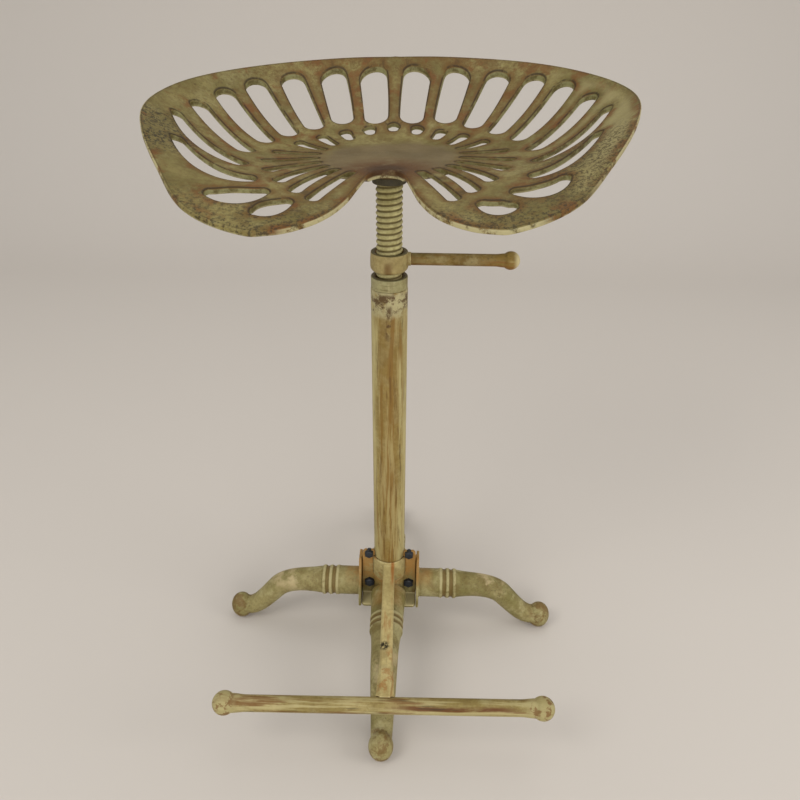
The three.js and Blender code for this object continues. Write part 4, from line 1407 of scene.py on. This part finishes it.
class GeometryBench(Bench):
    # One geometry tree with named inputs for its sizes

    def __init__(self, name, sizes):
        self.tree = bpy.data.node_groups.new(name, "GeometryNodeTree")
        self.tree.interface.new_socket("Geometry", in_out="INPUT", socket_type="NodeSocketGeometry")
        for label in sizes:
            self.tree.interface.new_socket(label, in_out="INPUT", socket_type="NodeSocketFloat")
        self.tree.interface.new_socket("Geometry", in_out="OUTPUT", socket_type="NodeSocketGeometry")
        self.given = self.tree.nodes.new("NodeGroupInput")
        self.result = self.tree.nodes.new("NodeGroupOutput")
        self.sizes = sizes

    def size(self, label):
        return self.given.outputs[label]

    def vector(self, x=0.0, y=0.0, z=0.0):
        return self.add("ShaderNodeCombineXYZ", X=x, Y=y, Z=z).outputs[0]

    def moved(self, geometry, offset=(0, 0, 0), turn=(0, 0, 0)):
        return self.add("GeometryNodeTransform", Geometry=geometry, Translation=offset, Rotation=turn).outputs[0]

    def joined(self, *geometries):
        node = self.tree.nodes.new("GeometryNodeJoinGeometry")
        for geometry in reversed(geometries):
            self.tree.links.new(geometry, node.inputs[0])
        return node.outputs[0]

    def meshOf(self, geometry, material, name):
        real = self.add("GeometryNodeRealizeInstances", Geometry=geometry).outputs[0]
        node = self.add("GeometryNodeSetMaterial", Geometry=real, Material=material)
        self.tree.links.new(node.outputs[0], self.result.inputs[0])
        worker = bpy.data.objects.new(name, bpy.data.meshes.new(name))
        scene.collection.objects.link(worker)
        modifier = worker.modifiers.new(name, "NODES")
        modifier.node_group = self.tree
        for item in self.tree.interface.items_tree:
            if item.in_out == "INPUT" and item.name in self.sizes:
                modifier[item.identifier] = self.sizes[item.name]
        return bakeModifiers(worker, name)


# Lift screw: one coarse round thread over the whole rod

thread = {
    "pitch": 0.00564,
    "depth": 0.0016,
    "crestRoundness": 0.7,
    "around": 72,
    "ringsPerTurn": 10,
}


def addLiftScrew():
    bench = GeometryBench("threadedRod", {
        "Low": screwLow.z,
        "High": screwHigh.z,
        "Crest Radius": screwOuter,
        "Pitch": thread["pitch"],
        "Depth": thread["depth"],
        "Crest Roundness": thread["crestRoundness"],
    })
    size, reckon, times = bench.size, bench.math, bench.times
    rings = round((screwHigh.z - screwLow.z) / thread["pitch"] * thread["ringsPerTurn"])
    rod = bench.add("GeometryNodeMeshCylinder", {"fill_type": "TRIANGLE_FAN"}, Vertices=thread["around"],
                    Side_Segments=rings, Radius=size("Crest Radius"),
                    Depth=reckon("SUBTRACT", size("High"), size("Low")))
    middle = times(reckon("ADD", size("High"), size("Low")), 0.5)
    placed = bench.moved(rod.outputs["Mesh"], bench.vector(z=middle))
    position = bench.add("GeometryNodeInputPosition").outputs[0]
    x, y, z = bench.add("ShaderNodeSeparateXYZ", Vector=position).outputs

    # A round ridge that climbs one pitch with each turn
    turns = reckon("DIVIDE", reckon("ARCTAN2", y, x), 2 * math.pi)
    phase = reckon("SUBTRACT", reckon("DIVIDE", z, size("Pitch")), turns)
    ridge = reckon("ADD", times(reckon("COSINE", times(phase, 2 * math.pi)), 0.5), 0.5)
    crest = reckon("POWER", reckon("MAXIMUM", ridge, 0.0001), size("Crest Roundness"))
    valley = times(reckon("SUBTRACT", 1.0, crest), size("Depth"))
    scale = reckon("DIVIDE", reckon("SUBTRACT", size("Crest Radius"), valley), size("Crest Radius"))
    shaped = bench.add("GeometryNodeSetPosition", Geometry=placed,
                       Position=bench.vector(times(x, scale), times(y, scale), z)).outputs[0]
    mesh = bench.meshOf(shaped, screwMaterial, "liftScrew")
    addPiece("liftScrew", mesh, screwMaterial, "seat", "screw_paint", "lift_screw")


addLiftScrew()

# Hub bolts: a row is two of them, side by side

hubBolt = {
    "headShares": {"upper": 1, "lower": 1.14},      # of the CAD head's width
    "headHeight": 0.004,
    "domeShare": 0.94,
    "domeTopShare": 0.74,
    "domeHeight": 0.0009,
    "shankRadius": 0.00297,
    "roundSteps": 32,
    "sharpAngle": 32,
}


def addBoltRow(level, headShare):
    leftNode, rightNode = f"hub_bolt_{level}_left", f"hub_bolt_{level}_right"
    low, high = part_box(leftNode)
    otherLow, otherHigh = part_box(rightNode)
    name = f"hubBolts{level.title()}"
    bench = GeometryBench(name, {
        "Across": (high.x - low.x) * headShare,
        "Head Height": hubBolt["headHeight"],
        "Half Spacing": (otherLow.x + otherHigh.x - low.x - high.x) / 4,
        "Height": (low.z + high.z) / 2,
        "Front": low.y,
        "Dome Height": hubBolt["domeHeight"],
        "Shank Radius": hubBolt["shankRadius"],
        "Shank Length": high.y - low.y,
    })
    size, times, steps = bench.size, bench.times, hubBolt["roundSteps"]
    head = bench.add("GeometryNodeMeshCylinder", Vertices=6, Depth=size("Head Height"),
                     Radius=bench.math("DIVIDE", size("Across"), math.sqrt(3)))
    headPlaced = bench.moved(head.outputs["Mesh"], bench.vector(z=times(size("Head Height"), -0.5)),
                             (0, 0, math.pi / 6))
    half = times(size("Across"), 0.5)
    dome = bench.add("GeometryNodeMeshCone", Vertices=steps, Depth=size("Dome Height"),
                     Radius_Bottom=times(half, hubBolt["domeShare"]), Radius_Top=times(half, hubBolt["domeTopShare"]))
    shank = bench.add("GeometryNodeMeshCylinder", Vertices=steps, Radius=size("Shank Radius"),
                      Depth=size("Shank Length"))
    shankPlaced = bench.moved(shank.outputs["Mesh"], bench.vector(z=times(size("Shank Length"), -0.5)))
    bolt = bench.moved(bench.joined(headPlaced, dome.outputs["Mesh"], shankPlaced), turn=(math.pi / 2, 0, 0))
    spacing, front, height = size("Half Spacing"), size("Front"), size("Height")
    row = bench.add("GeometryNodeMeshLine", {"mode": "END_POINTS"}, Count=2,
                    Start_Location=bench.vector(times(spacing, -1.0), front, height),
                    Offset=bench.vector(spacing, front, height))
    copies = bench.add("GeometryNodeInstanceOnPoints", Points=row.outputs["Mesh"], Instance=bolt)
    mesh = bench.meshOf(copies.outputs[0], blackMaterial, name)
    mesh.set_sharp_from_angle(angle=math.radians(hubBolt["sharpAngle"]))
    addPiece(name, mesh, blackMaterial, "base", "dark_steel", leftNode, rightNode)


for level, headShare in hubBolt["headShares"].items():
    addBoltRow(level, headShare)
print("hub bolts ready")

# Nodes that stay as they are get their own finish

for node, material in (("hub_nut_lower_left", blackMaterial), ("hub_nut_lower_right", blackMaterial),
                       ("stop_washer", greyMaterial), ("stop_screw", greyMaterial)):
    nodes[node].data.materials.clear()
    nodes[node].data.materials.append(material)
